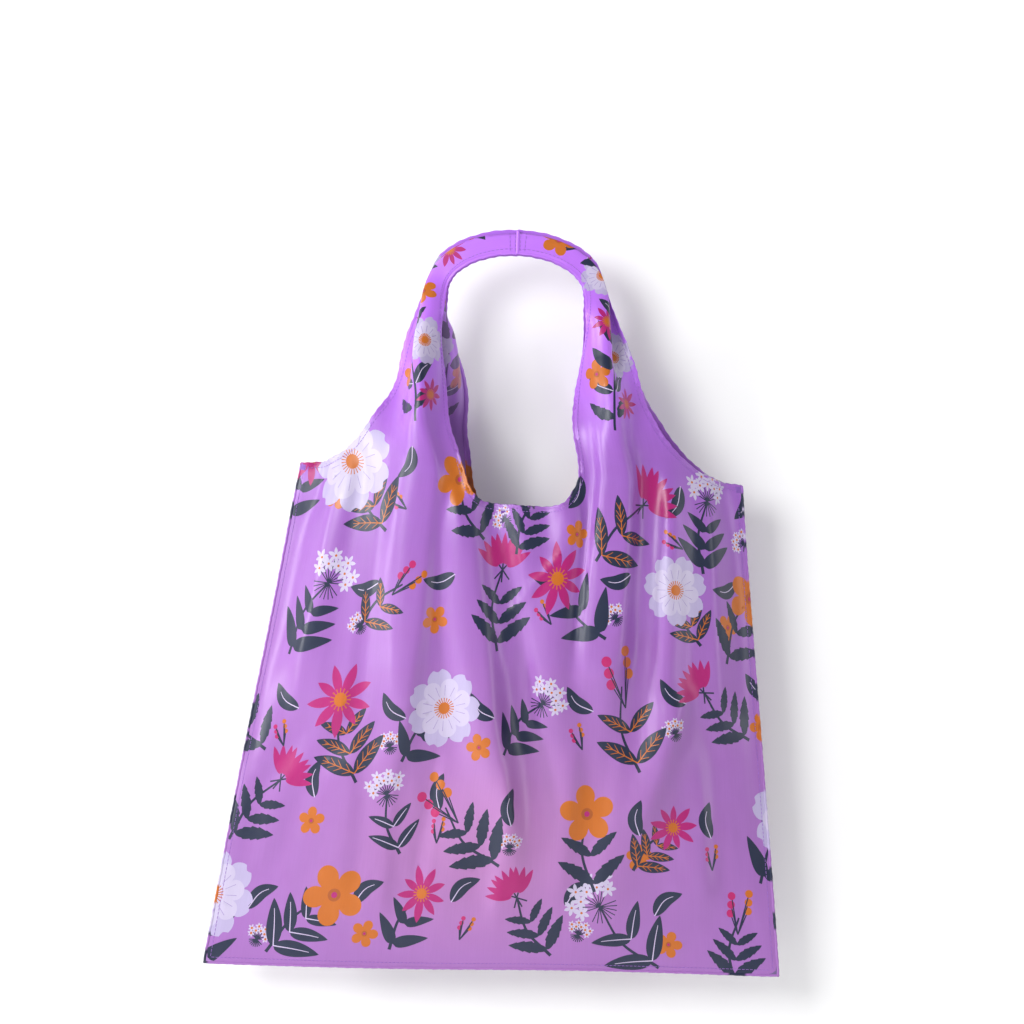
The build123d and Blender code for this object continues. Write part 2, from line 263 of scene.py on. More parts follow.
# Sharper folds added to the hung cloth: a line, its width and height, and which side is steep.
CREASES = {
    -1: [
        ((-74, -70), (-88, -470), 10, 4.5, 1),
        ((-100, -170), (-112, -420), 12, 2.6, -1),
        ((-128, -200), (-146, -430), 12, 2.6, 1),
        ((-156, -205), (-180, -420), 11, 2.2, -1),
        ((-62, -205), (16, -545), 10, 5.0, 1),
        ((-38, -240), (-22, -400), 9, 2.4, -1),
        ((4, -240), (40, -440), 11, 2.6, -1),
        ((74, -170), (66, -380), 9, 6.5, -1),
        ((88, -60), (92, -400), 9, 3.6, 1),
        ((106, -150), (110, -330), 9, 2.6, -1),
        ((128, -190), (134, -450), 11, 3.4, -1),
        ((158, -208), (182, -420), 11, 2.6, 1),
        ((150, -380), (118, -500), 9, 2.4, 1),
        ((-50, -440), (-58, -575), 8, 2.6, -1),
        ((60, -430), (52, -570), 10, 2.0, 1),
        ((-130, -440), (-140, -570), 11, 1.8, 1),
        ((-95, -430), (-100, -590), 10, 2.2, 1),
        ((8, -420), (2, -600), 9, 2.4, -1),
        ((100, -420), (92, -590), 11, 2.0, -1),
        ((165, -420), (176, -580), 10, 1.8, 1),
        ((43, -262), (-12, -334), 3, 0.9, 1),
    ],
    1: [
        ((-80, -70), (-92, -470), 10, 4.2, 1),
        ((-110, -180), (-126, -430), 12, 2.8, -1),
        ((-40, -235), (-70, -500), 11, 3.4, -1),
        ((10, -235), (-6, -480), 12, 3.0, 1),
        ((58, -215), (30, -520), 10, 4.4, 1),
        ((84, -70), (96, -450), 10, 4.2, -1),
        ((118, -190), (128, -440), 11, 2.8, 1),
        ((154, -205), (178, -420), 11, 2.4, -1),
        ((-156, -205), (-180, -420), 11, 2.2, 1),
    ],
}


CREASE_HEIGHT, CREASE_LEAN = 2.1, 0.22  # how far a fold of height 1 stands out and leans over
GENTLE, STEEP = 0.5, 1.25  # the slopes of a fold's two sides


def creased(p, face):
    """Adds the sharper folds, which die away at their ends."""
    x, z = p[..., 0].copy(), p[..., 2]
    for (x0, z0), (x1, z1), width, height, steep in CREASES[face]:
        t = (z0 - z) / (z0 - z1)
        along = eased(np.minimum(t + 0.12, 1.08 - t) / 0.3)
        wander = 1.3 * np.sin(z / 41.0 + x0)
        off = (x - (x0 + (x1 - x0) * t) - wander) * steep / (width * (0.9 + 0.6 * np.clip(t, 0, 1.2)))
        off = np.where(off > 0, off * STEEP, off * GENTLE)
        ridge = height * along * np.exp(-off * off)
        p[..., 1] += face * CREASE_HEIGHT * ridge
        p[..., 0] += steep * CREASE_LEAN * ridge
    # No fold stands further out of the panel's own depth than PROUD.
    out = np.abs(p[..., 1]) - PANEL_DEPTH
    held = PANEL_DEPTH + PROUD * np.tanh(np.maximum(out, 0) / PROUD)
    p[..., 1] = np.where(out > 0, np.sign(p[..., 1]) * held, p[..., 1])
    return p


# How the held bag hangs off its even shape, in mm and slopes.
SHOULDER_DRIFT = 10.0  # the shoulders and mouth hang a little to the right
DRIFT_ABOVE, DRIFT_FADE = 15.0, 55.0  # it starts above the crease line and fades in below
LEG_SPREAD = 8.0  # the handles bow outward half way up
LEG_Z, LEG_REACH = -88.0, 32.0
BACK_APART = 10.0  # the back handle shows inside the front one
BACK_Z, BACK_REACH = -110.0, 45.0
MOUTH_TILT, MOUTH_DROP, MOUTH_REACH = -0.03, 20.0, 70.0
BASE_TILT, TILT_TOP = 0.03, -460.0
TILT_HALF = 110.0  # a tilt levels off past this distance from the middle


def swayed(p, face):
    """Moves the hung cloth from its even shape to the way a held bag hangs."""
    x, z = p[..., 0].copy(), p[..., 2].copy()
    fade = np.clip((z - BASE_Z) / (SHOULDER_Z - BASE_Z), 0, 1)
    p[..., 0] += SHOULDER_DRIFT * eased((CREASE_Z + DRIFT_ABOVE - z) / DRIFT_FADE) * fade
    bow = np.exp(-(((z - LEG_Z) / LEG_REACH) ** 2))
    p[..., 0] += LEG_SPREAD * bow * np.sign(x) * np.clip((abs(x) - 58) / 24, 0, 1)
    if face > 0:
        p[..., 0] -= BACK_APART * np.exp(-(((z - BACK_Z) / BACK_REACH) ** 2)) * np.tanh(x / 60)
    mouth = MOUTH_TILT * np.exp(-(((z - SHOULDER_Z + MOUTH_DROP) / MOUTH_REACH) ** 2))
    base = BASE_TILT * np.clip((z - TILT_TOP) / (BASE_Z - TILT_TOP), 0, 1)
    p[..., 2] += (mouth + base) * TILT_HALF * np.tanh(x / TILT_HALF)
    return p


def folded_out(p, face):
    """Adds the starting folds to a first shape."""
    x, z = p[..., 0], p[..., 2]
    for (x0, z0), (x1, z1), width, height in FOLDS[face]:
        t = (z0 - z) / (z0 - z1)
        along = eased(1.15 - np.abs(t - 0.42) / 0.62)
        off = (x - (x0 + (x1 - x0) * t)) / (width * (1 + 0.5 * np.clip(t, 0, 1.2)))
        p[..., 1] += face * height * along * np.exp(-off * off)
    return p


# ------------------------------------------------------------------ hanging the cloth
def grid(nx, nv):
    """Evenly spaced points over the pattern's whole width and height."""
    x = np.linspace(-CUT_HALF, CUT_HALF, nx + 1)
    v = np.linspace(0, CUT_TOP, nv + 1)
    return np.meshgrid(x, v)


def on_cloth(x, v, spare):
    """Whether points of the pattern lie on the cloth or within a spare margin of it."""
    inner, outer = strap_edges(v)
    body = v <= CUT_SIDE + spare
    strap = (np.abs(x) >= inner - spare) & (np.abs(x) <= outer + spare)
    neck = (v <= 403 - spare) | (np.abs(x) >= inner - spare)
    return np.where(v <= CUT_SIDE, body & neck, strap | (body & (np.abs(x) >= inner - spare)))


def finer(p, nx, nv):
    """Resamples both panels' points on a finer grid."""
    for axis, n in ((1, nv), (2, nx)):
        t = np.linspace(0, p.shape[axis] - 1, n + 1)
        i = np.minimum(t.astype(int), p.shape[axis] - 2)
        f = (t - i).reshape([-1 if k == axis else 1 for k in range(4)])
        p = np.take(p, i, axis) * (1 - f) + np.take(p, i + 1, axis) * f
    return p


def spread_out(p, mask):
    """Carries the cloth's shape on past its edge, so that it can be sampled smoothly there."""
    known = np.broadcast_to(mask, p.shape[:3]).copy()
    for _ in range(4):
        total = np.zeros_like(p)
        count = np.zeros(p.shape[:3])
        for axis, way in ((1, 1), (1, -1), (2, 1), (2, -1)):
            near, far = np.roll(p, way, axis), np.roll(p, 2 * way, axis)
            ok = np.roll(known, way, axis) & np.roll(known, 2 * way, axis) & ~known
            edge = [slice(None)] * 3
            edge[axis] = slice(0, 2) if way == 1 else slice(-2, None)
            ok[tuple(edge)] = False
            total += np.where(ok[..., None], 2 * near - far, 0)
            count += ok
        new = count > 0
        p = np.where(new[..., None], total / np.maximum(count, 1)[..., None], p)
        known |= new
    return p


class Threads:
    """All threads of one kind between grid points (rows, columns) apart, in independent sets."""

    def __init__(self, free, mask, step, rest, give, push_only=False):
        dr, dc = step
        rows, cols = mask.shape
        self.give, self.push_only = give, push_only
        rest = np.broadcast_to(rest, mask.shape)
        self.sets = []
        row_step = 2 * dr if dr else 1
        col_step = 1 if dr else 2 * dc
        first = max(0, -dc)
        for r0 in range(row_step):
            for c0 in range(first, first + col_step):
                ra, rb = slice(r0, rows - dr, row_step), slice(r0 + dr, rows, row_step)
                ca, cb = slice(c0, cols - max(0, dc), col_step), slice(c0 + dc, cols + min(0, dc), col_step)
                both = mask[ra, ca] & mask[rb, cb]
                wa, wb = free[:, ra, ca] * both, free[:, rb, cb] * both
                total = wa + wb
                total[total == 0] = 1
                length = 0.5 * (rest[ra, ca] + rest[rb, cb])[..., None]
                self.sets.append((ra, ca, rb, cb, (wa / total)[..., None], (wb / total)[..., None], length))

    def settle(self, p):
        for ra, ca, rb, cb, wa, wb, rest in self.sets:
            a = p[:, ra, ca]
            b = p[:, rb, cb]
            d = b - a
            length = np.sqrt(np.einsum("...i,...i", d, d))[..., None] + 1e-6
            miss = (length - rest) / length * self.give
            if self.push_only:
                miss = np.minimum(miss, 0)
            d *= miss
            a += wa * d
            b -= wb * d


# Each pass of the hanging: threads across and up, steps, stiffness, pull to the starting folds.
PASSES = ((32, 45, 220, 0.15, 0.20), (56, 80, 160, 0.25, 0.12))
WEIGHT = 0.03  # how far the cloth drops in a step
KEPT_SPEED = 0.9
FASTEST = 2.0
PULL = 0.12  # towards the first shape
DEEPEST = 54.0
APART = 0.6  # half the least gap between the panels
# Room for the pouch between the panels: half width, top, bottom and the depth kept clear, front and back.
POUCH_MIDDLE = -6.0
POUCH_ROOM = ((66, -236, -358, 39.0), (68, -250, -352, 41.0))


def kept_apart(p, plain):
    """Keeps the panels on their own sides, and clear of the pouch."""
    for k, face in enumerate((-1, 1)):
        x, y, z = p[k, ..., 0], p[k, ..., 1] * face, p[k, ..., 2]
        y = np.minimum(np.where(plain, np.maximum(y, APART), y), DEEPEST)
        half, top, bottom, clear = POUCH_ROOM[k]
        room = plain & (np.abs(x - POUCH_MIDDLE) < half) & (z < top) & (z > bottom)
        p[k, ..., 1] = face * np.maximum(np.where(room, np.maximum(y, clear), y), -DEEPEST)


def hang_cloth():
    """Hangs both panels, sewn along the sides and the bottom: grid points of front and back."""
    p = None
    for nx, nv, steps, bend, lead in PASSES:
        x, v = grid(nx, nv)
        guess = np.stack([first_shape(x, v, face) for face in (-1, 1)])
        led = np.stack([folded_out(guess[k].copy(), face)[..., 1] for k, face in enumerate((-1, 1))])
        grip = np.stack([gathered(x, v, face) for face in (-1, 1)])
        if p is None:
            p = guess.copy()
            p[..., 1] = led
        else:
            p = finer(p, nx, nv)
        hx, hv = 2 * CUT_HALF / nx, CUT_TOP / nv
        tight = np.interp(v, [0, CUT_SIDE, CUT_GRIP], [1, SHOULDER_CUT / CUT_HALF, 1])
        mask = on_cloth(x, v, 0.6 * hx)
        held = v >= CUT_GRIP
        p = np.where(held[..., None], grip, p)
        free = np.where(held, 0.0, 1.0) * mask
        free = np.stack([free, free])
        side = (np.abs(x) > CUT_HALF - 0.1) & (v <= CUT_SIDE + 0.5 * hv)
        foot = v < 0.1
        seam = side | foot
        kinds = [
            Threads(free, mask, (0, 1), hx * tight, 1.0),
            Threads(free, mask, (1, 0), hv, 1.0),
            Threads(free, mask, (1, 1), np.hypot(hx * tight, hv), 0.12),
            Threads(free, mask, (1, -1), np.hypot(hx * tight, hv), 0.12),
            Threads(free, mask, (0, 2), 2 * hx * tight, bend, True),
            Threads(free, mask, (2, 0), 2 * hv, bend, True),
            Threads(free, mask, (0, 3), 2.97 * hx * tight, bend, True),
            Threads(free, mask, (3, 0), 2.97 * hv, bend, True),
        ]
        target = guess[0].copy()
        target[..., 1] = 0
        inner, outer = strap_edges(v)
        near = np.minimum(np.abs(np.abs(x) - inner), np.abs(np.abs(x) - outer))
        edge = np.where(v > 395, 0.3 * np.exp(-((near / 14) ** 2)), 0) * mask * (v < CUT_GRIP) + 0.02
        steady = np.clip((CUT_GRIP - v) / 60, 0, 1) * PULL * mask
        speed = np.zeros_like(p)
        plain = mask & ~seam & ~held
        for _ in range(steps):
            old = p.copy()
            p = p + KEPT_SPEED * speed
            p[..., 2] -= WEIGHT * (free > 0)
            p[..., 2] += steady * (guess[..., 2] - p[..., 2])
            p[..., 1] += lead * steady / PULL * (led - p[..., 1])
            p[..., 0] += edge * (guess[..., 0] - p[..., 0])
            for _ in range(3):
                for threads in kinds:
                    threads.settle(p)
                joined = p[:, seam].mean(axis=0)
                joined[:, 1] *= 0.5
                joined += 0.3 * (target[seam] - joined)
                p[:, seam] = joined
            kept_apart(p, plain)
            p = np.where(held[..., None], grip, p)
            speed = np.clip(p - old, -FASTEST, FASTEST)
        p = spread_out(p, mask)
    for _ in range(3):
        soft = p.copy()
        soft[:, 1:-1, 1:-1] = 0.5 * p[:, 1:-1, 1:-1] + 0.125 * (
            p[:, :-2, 1:-1] + p[:, 2:, 1:-1] + p[:, 1:-1, :-2] + p[:, 1:-1, 2:]
        )
        keep = (mask & ~seam & (v < CUT_GRIP - 10))[..., None]
        p = np.where(keep, soft, p)
    x, v = grid(160, 228)
    p = sampled(p, x.ravel(), v.ravel()).reshape(2, *x.shape, 3)
    free = np.clip((CUT_HALF - np.abs(x)) / 40, 0, 1) * np.clip(v / 60, 0, 1)
    free = free * np.clip((CUT_GRIP - v) / 60, 0, 1)
    near = (0.5 * np.exp(-(((v - CUT_GRIP) / 26) ** 2)))[1:-1, :, None]
    for _ in range(40):
        p[:, 1:-1] += near * (0.5 * (p[:, :-2] + p[:, 2:]) - p[:, 1:-1])
    for k, face in enumerate((-1, 1)):
        moved = creased(p[k].copy(), face)
        p[k] += (moved - p[k]) * free[..., None]
        p[k] = swayed(p[k], face)
    return p


def sampled(p, x, v):
    """Smooth position on both panels at pattern points (bicubic)."""
    rows, cols = p.shape[1] - 1, p.shape[2] - 1
    gx = np.clip((x + CUT_HALF) / (2 * CUT_HALF) * cols, 0, cols - 1e-6)
    gv = np.clip(v / CUT_TOP * rows, 0, rows - 1e-6)
    ix, iv = gx.astype(int), gv.astype(int)
    fx, fv = gx - ix, gv - iv

    def weights(f):
        return [
            -0.5 * f + f**2 - 0.5 * f**3,
            1 - 2.5 * f**2 + 1.5 * f**3,
            0.5 * f + 2 * f**2 - 1.5 * f**3,
            -0.5 * f**2 + 0.5 * f**3,
        ]

    wx, wv = weights(fx), weights(fv)
    out = 0
    for j in range(4):
        row = np.clip(iv + j - 1, 0, rows)
        for i in range(4):
            col = np.clip(ix + i - 1, 0, cols)
            out = out + (wv[j] * wx[i])[:, None] * p[:, row, col]
    return out


HUNG = hang_cloth()


# ------------------------------------------------------------------ the print
# Generic flowers and leaves, drawn as flat outlines on the pattern. Colours are sRGB.
INKS = {
    "dark": (14, 28, 58),
    "line": (196, 180, 214),
    "white": (190, 180, 208),
    "petal": (176, 164, 202),
    "shade": (150, 132, 186),
    "magenta": (166, 0, 106),
    "rose": (180, 20, 100),
    "orange": (188, 98, 6),
    "amber": (160, 78, 14),
}
PRINT = []


def ink(name, pts):
    """Adds a closed outline in one ink, over those already there."""
    PRINT.append((name, np.array(pts, float)))


def along(points, step):
    """A smooth line, its normals and its share of the way along."""
    line = smooth_line(points, step)
    run = run_of(line)
    return line, left_of(line), run / run[-1]


def stroke(name, points, start, end=None, step=3.0):
    """A line of the given width, which may change along the way."""
    line, normal, run = along(points, step)
    half = 0.5 * (start + ((start if end is None else end) - start) * run)[:, None]
    ink(name, np.vstack([line + normal * half, (line - normal * half)[::-1]]))


def leaf(name, points, width, teeth=0, bite=0.35, rib=None, veins=0, full=0.8):
    """A leaf along a line, plain or toothed, with its midrib and side veins."""
    line, normal, run = along(points, 1.1 if teeth else 2.2)
    half = width / 2 * np.sin(np.pi * np.clip(run, 0, 1) ** full) ** 0.8
    if teeth:
        half = half * (1 - bite * ((run * teeth) % 1))
    half = half[:, None] + 0.15
    ink(name, np.vstack([line + normal * half, (line - normal * half)[::-1]]))
    if rib:
        n = len(line)
        stroke(rib, line[int(0.04 * n) : int(0.9 * n) : 3], 1.0, 0.5)
        for k in range(veins):
            i = int(n * (0.14 + 0.66 * k / veins))
            j = min(n - 1, i + int(0.12 * n) + 1)
            for s in (-1, 1):
                stroke(rib, [line[i], line[j] + s * normal[j] * half[j] * 0.72], 0.7, 0.4, 9)


def blossom(name, x, v, size, petals, waist, power, turn, notch=0.0):
    """Petals round a centre in one outline."""
    a = np.linspace(0, 2 * np.pi, petals * 16, endpoint=False)
    c = np.abs(np.cos(petals * a / 2))
    r = size * (waist + (1 - waist) * c**power) * (1 - notch * np.exp(-(((1 - c) / 0.03) ** 2)))
    ink(name, turned(np.stack([r * np.cos(a), r * np.sin(a)], 1), x, v, turn))


def disc(name, x, v, size):
    n = max(12, int(size * 4))
    a = np.linspace(0, 2 * np.pi, n, endpoint=False)
    ink(name, np.stack([x + size * np.cos(a), v + size * np.sin(a)], 1))


def rays(name, x, v, near, far, count, width, turn):
    """Short strokes all round a centre, wider outward."""
    for k in range(count):
        a = math.radians(turn + 360 * (k + 0.5) / count)
        d = np.array([math.cos(a), math.sin(a)])
        side = np.array([-d[1], d[0]]) * width / 2
        p, q = np.array([x, v]) + d * near, np.array([x, v]) + d * far
        ink(name, [p - side * 0.6, q - side, q + side, p + side * 0.6])


def turned(points, x, v, turn):
    """Points turned by an angle in degrees and moved to a place."""
    t = math.radians(turn)
    axes = np.array([[math.cos(t), math.sin(t)], [-math.sin(t), math.cos(t)]])
    return np.array(points, float) @ axes + (x, v)


def inside(pts, ring):
    """Which points lie inside a closed outline (by crossings)."""
    x, v = pts[:, 0], pts[:, 1]
    odd = np.zeros(len(pts), bool)
    ends = np.roll(ring, -1, axis=0)
    for (ax, av), (bx, bv) in zip(ring, ends):
        if av == bv:
            continue
        cross = ((av > v) != (bv > v)) & (x < (bx - ax) * (v - av) / (bv - av) + ax)
        odd ^= cross
    return odd


def spiky(name, x, v, size, petals, turn):
    """Broad petals with pointed tips, no two quite alike."""
    waist = 0.34
    a = np.linspace(0, 2 * np.pi, petals * 14, endpoint=False)
    c = np.abs(((a * petals / (2 * np.pi)) % 1) * 2 - 1)
    uneven = 1 + 0.09 * np.sin(2 * a + turn) + 0.05 * np.sin(5 * a + x)
    r = size * (waist + (1 - waist) * c**0.75) * uneven
    ink(name, turned(np.stack([r * np.cos(a), r * np.sin(a)], 1), x, v, turn))


def daisy(x, v, size, turn):
    """A bright flower of narrow petals with a fringed orange heart."""
    spiky("magenta", x, v, size * 0.8, 9, turn)
    rays("orange", x, v, size * 0.08, size * 0.26, 15, 1.1, turn)
    disc("orange", x, v, size * 0.16)


def rosette(x, v, size, turn):
    """A large pale flower of two rings of broad petals."""
    blossom("petal", x, v, size * 1.15, 7, waist=0.72, power=0.6, turn=turn, notch=0.08)
    blossom("white", x, v, size * 0.86, 7, waist=0.7, power=0.6, turn=turn + 26)
    rays("shade", x, v, size * 0.36, size * 0.66, 14, 0.6, turn)
    rays("orange", x, v, size * 0.12, size * 0.3, 22, 1.0, turn)
    disc("orange", x, v, size * 0.17)


def buttercup(x, v, size, turn):
    blossom("orange", x, v, size * 0.72, 5, waist=0.5, power=0.7, turn=turn)
    disc("amber", x, v, size * 0.15)
    disc("magenta", x, v, size * 0.07)


def cups(x, v, size, turn):
    """Three upright pink cups on short stalks."""
    for lean in (-42, 0, 42):
        stroke("dark", turned([(-size * 0.3, 0), (size * 0.2, 0)], x, v, turn + lean), 1.4)
        for spread in (-16, 0, 16):
            petal = turned([(size * 0.15, 0), (size * 0.5, 0), (size * 0.9, 0)], x, v, turn + lean + spread)
            leaf("magenta", petal, size * 0.2)


def froth(x, v, size, turn):
    """A spray of small white stars on fine stalks."""
    for k in range(9):
        tip = turned([(-size * 0.4, 0), (size * (0.45 + 0.2 * (k % 2)), 0)], x, v, turn + 17 * (k - 4))
        stroke("dark", tip, 0.9)
        spiky("white", *tip[1], size * 0.2, 6, 20 * k)
        disc("orange", *tip[1], 1.1)


def berries(x, v, size, turn):
    for k in range(6):
        tip = turned([(-size * 0.5, 0), (size * (0.1 + 0.13 * k), size * 0.26 * (-1) ** k)], x, v, turn)
        stroke("dark", tip, 1.1)
        disc("orange" if k % 2 else "rose", *tip[1], size * 0.12)


HEADS = (rosette, cups, buttercup, froth, daisy, berries)
LEAVES = (dict(teeth=5, bite=0.25), dict(rib="line", full=0.7), dict(full=0.6), dict(rib="orange", veins=4))


def sprig(x, v, size, turn, kind, pairs):
    """A bent stem with pairs of leaves that grow smaller upward, and a flower at its tip."""
    stem = turned([(-size, 0), (-size * 0.3, size * 0.16), (size * 0.4, 0)], x, v, turn)
    stroke("dark", stem, 3.0, 1.6)
    for pair in range(pairs):
        foot = (-0.85 + pair / pairs) * size
        reach = size * (0.62 - 0.1 * pair)
        for side in (-1, 1):
            blade = [(foot, 0), (foot + reach * 0.4, side * reach * 0.5), (foot + reach * 0.75, side * reach)]
            leaf("dark", turned(blade, x, v, turn), reach * 0.42, **LEAVES[(kind + pairs) % len(LEAVES)])
    HEADS[kind](*stem[2], size * 0.72, turn)


ROWS, COLUMNS = 5, 6
ROW_STEP, COLUMN_STEP = 92.0, 92.0


def meadow():
    """Sprigs on loosely staggered rows over the body, and a climbing stem up each strap."""
    for row in range(ROWS):
        for column in range(COLUMNS):
            x = (column - 2.75 + 0.5 * (row % 2)) * COLUMN_STEP + 13 * math.sin(5 * row + 3 * column)
            v = 40 + row * ROW_STEP + 13 * math.sin(2 * row + 7 * column)
            kind = (row + 2 * column + column // 3) % len(HEADS)
            size = 46 + 8 * math.sin(3 * row + 2 * column)
            between = x + COLUMN_STEP / 2
            leaf("dark", turned([(-16, 0), (0, 5), (16, 0)], between, v + 18, 40 + 50 * row), 13, rib="line")
            (froth, buttercup, berries)[(row + column) % 3](between, v - 18, 17, 70 + 20 * row)
            sprig(x, v, size, 90 + 48 * math.sin(4 * row + 5 * column), kind, 2 + (row + column) % 2)
    for side in (-1, 1):
        stroke("dark", [(side * 112, 470), (side * 118, 570), (side * 112, 640)], 2.4, 1.6)
        for k in range(8):
            v = 480 + 23 * k
            for way in (35, 145):
                leaf("dark", turned([(2, 0), (15, 5), (28, 4)], side * 115, v, way), 11, **LEAVES[k % 3])
            (daisy, buttercup, rosette)[k % 3](side * 115 + 17 * (-1) ** k, v + 14, 18, 30 * k)


meadow()


def ground(flat):
    """The dyed ground, violet at the straps and pinker low in the middle; the straps also carry painted
    light, up to a fifth lighter towards the grip.
    """
    x, v = flat[:, 0], flat[:, 1]
    top = np.array([150, 90, 192.0])
    low = np.array([156, 102, 178.0])
    warm = np.array([180, 122, 176.0])
    t = (np.clip((v - 60) / 470, 0, 1) ** 2.0)[:, None]
    # Painted light: the straps' ground is painted up to a fifth lighter towards the grip.
    strap = 1 + 0.2 * np.clip((v - 440) / 90, 0, 1)[:, None]
    c = (low * (1 - t) + top * t) * strap
    w = np.exp(-(((x + 10) / 120) ** 2) - ((v - 110) / 90) ** 2)[:, None] * 0.75
    return c * (1 - w) + warm * w


# ------------------------------------------------------------------ materials
def linear(rgb):
    """A colour of 0 to 255 a channel, as linear light."""
    c = np.array(rgb, float) / 255
    return tuple(np.where(c <= 0.04045, c / 12.92, ((c + 0.055) / 1.055) ** 2.4))


class Nodes:
    """A principled material and short calls for its nodes."""

    def __init__(self, name):
        self.mat = bpy.data.materials.new(name)
        self.mat.use_nodes = True
        self.tree = self.mat.node_tree
        self.bsdf = self.tree.nodes["Principled BSDF"]
        coords = self.add("ShaderNodeTexCoord")
        self.uv, self.place = coords.outputs["UV"], coords.outputs["Object"]

    def feed(self, socket, value):
        """Links another node's output to a socket, or sets a constant on it."""
        if isinstance(value, bpy.types.NodeSocket):
            self.tree.links.new(value, socket)
        elif isinstance(value, tuple) and len(value) == 3 and socket.type == "RGBA":
            socket.default_value = (*value, 1)
        else:
            socket.default_value = value

    def add(self, kind, inputs=(), **values):
        """A node with its properties set, and its inputs fed in pairs of key and value."""
        node = self.tree.nodes.new(kind)
        for key, value in values.items():
            setattr(node, key, value)
        for key, value in inputs:
            self.feed(node.inputs[key], value)
        return node

    def set(self, **values):
        """Feeds the surface's own inputs."""
        for key, value in values.items():
            self.feed(self.bsdf.inputs[key.replace("_", " ")], value)

    def noise(self, coords, scale, detail=3.0, stretch=(1, 1, 1)):
        mapping = self.add("ShaderNodeMapping", [("Vector", coords), ("Scale", stretch)])
        inputs = [("Vector", mapping.outputs["Vector"]), ("Scale", scale), ("Detail", detail)]
        return self.add("ShaderNodeTexNoise", inputs).outputs["Fac"]

    def spread(self, value, low, high, start=0.0, end=1.0):
        inputs = [("Value", value), ("From Min", start), ("From Max", end), ("To Min", low), ("To Max", high)]
        return self.add("ShaderNodeMapRange", inputs).outputs["Result"]

    def math(self, op, a, b):
        return self.add("ShaderNodeMath", [(0, a), (1, b)], operation=op).outputs[0]

    def mix(self, factor, a, b, how="MIX"):
        """Two colours mixed: sockets 0, 6 and 7 are the factor and the colours."""
        node = self.add("ShaderNodeMix", data_type="RGBA", blend_type=how)
        for key, value in ((0, factor), (6, a), (7, b)):
            self.feed(node.inputs[key], value)
        return node.outputs[2]

    def tint(self, colour, value, low, high):
        """The colour made darker or lighter by a value from 0 to 1."""
        level = self.spread(value, low, high)
        grey = self.add("ShaderNodeCombineColor", [(k, level) for k in range(3)])
        return self.mix(1.0, colour, grey.outputs[0], "MULTIPLY")

    def weave(self, coords, pitch):
        """Threads over and under each other, at a pitch in metres."""
        threads = []
        for axis in ("X", "Y"):
            inputs = [("Vector", coords), ("Scale", 0.314 / pitch), ("Distortion", 0.6), ("Detail", 1.0)]
            wave = self.add("ShaderNodeTexWave", inputs, wave_type="BANDS", bands_direction=axis)
            threads.append(wave.outputs["Fac"])
        return self.math("MAXIMUM", *threads)

    def bump(self, height, strength, distance, after=None):
        inputs = [("Height", height), ("Strength", strength), ("Distance", distance)]
        if after:
            inputs.append(("Normal", after))
        return self.add("ShaderNodeBump", inputs).outputs["Normal"]


def satin(name, paler=0.0):
    """Thin printed polyester: a soft gloss, fine threads, small creases along the warp."""
    m = Nodes(name)
    paint = m.add("ShaderNodeAttribute", attribute_name="print").outputs["Color"]
    if paler:
        paint = m.mix(paler, paint, linear((188, 150, 216)))
    cloudy = m.noise(m.place, 9.0, 4.0)
    thread = m.noise(m.uv, 900.0, 2.0, (1, 0.03, 1))
    normal = m.bump(m.noise(m.uv, 26.0, 3.0, (1.0, 0.22, 1.0)), 0.35, 0.0016)
    normal = m.bump(m.noise(m.uv, 120.0, 3.0, (1.0, 0.5, 1.0)), 0.22, 0.0004, normal)
    normal = m.bump(m.weave(m.uv, 0.00032), 0.20, 0.00003, normal)
    colour = m.tint(m.tint(paint, cloudy, 0.90, 1.08), thread, 0.95, 1.05)
    m.set(Base_Color=colour, Roughness=m.spread(m.noise(m.place, 40.0), 0.27, 0.42), Normal=normal)
    m.set(Sheen_Weight=0.12, Sheen_Roughness=0.3, Sheen_Tint=linear((226, 200, 244)), Specular_IOR_Level=0.6)
    return m.mat


def woven(name, rgb, pitch, gloss, fuzz=0.2):
    """A plain cloth or tape of one colour."""
    m = Nodes(name)
    normal = m.bump(m.weave(m.place, pitch), 0.4, pitch * 0.25)
    normal = m.bump(m.noise(m.place, 160.0), 0.25, 0.0004, normal)
    rough = m.spread(m.noise(m.place, 90.0), gloss - 0.08, gloss + 0.08)
    m.set(Base_Color=m.tint(linear(rgb), m.noise(m.place, 300.0, 4.0), 0.84, 1.12))
    m.set(Roughness=rough, Normal=normal, Sheen_Weight=fuzz, Sheen_Roughness=0.4)
    return m.mat


# ------------------------------------------------------------------ mesh helpers
def mesh_object(name, verts, faces, mats, uvs=None):
    """A smooth-shaded object in metres, with its materials and a map of its points."""
    mesh = bpy.data.meshes.new(name)
    mesh.from_pydata([tuple(p) for p in verts], [], faces)
    mesh.update()
    obj = bpy.data.objects.new(name, mesh)
    bpy.context.scene.collection.objects.link(obj)
    for mat in mats:
        mesh.materials.append(mat)
    mesh.polygons.foreach_set("use_smooth", [True] * len(mesh.polygons))
    if uvs is not None:
        corner = np.empty(len(mesh.loops), int)
        mesh.loops.foreach_get("vertex_index", corner)
        layer = mesh.uv_layers.new(name="UVMap")
        layer.data.foreach_set("uv", np.asarray(uvs, np.float32)[corner].ravel())
    return obj


OUTLINE = pattern_outline()
CLOTH = satin("printed_satin")
CLOTH_INSIDE = satin("printed_satin_inside", 0.30)


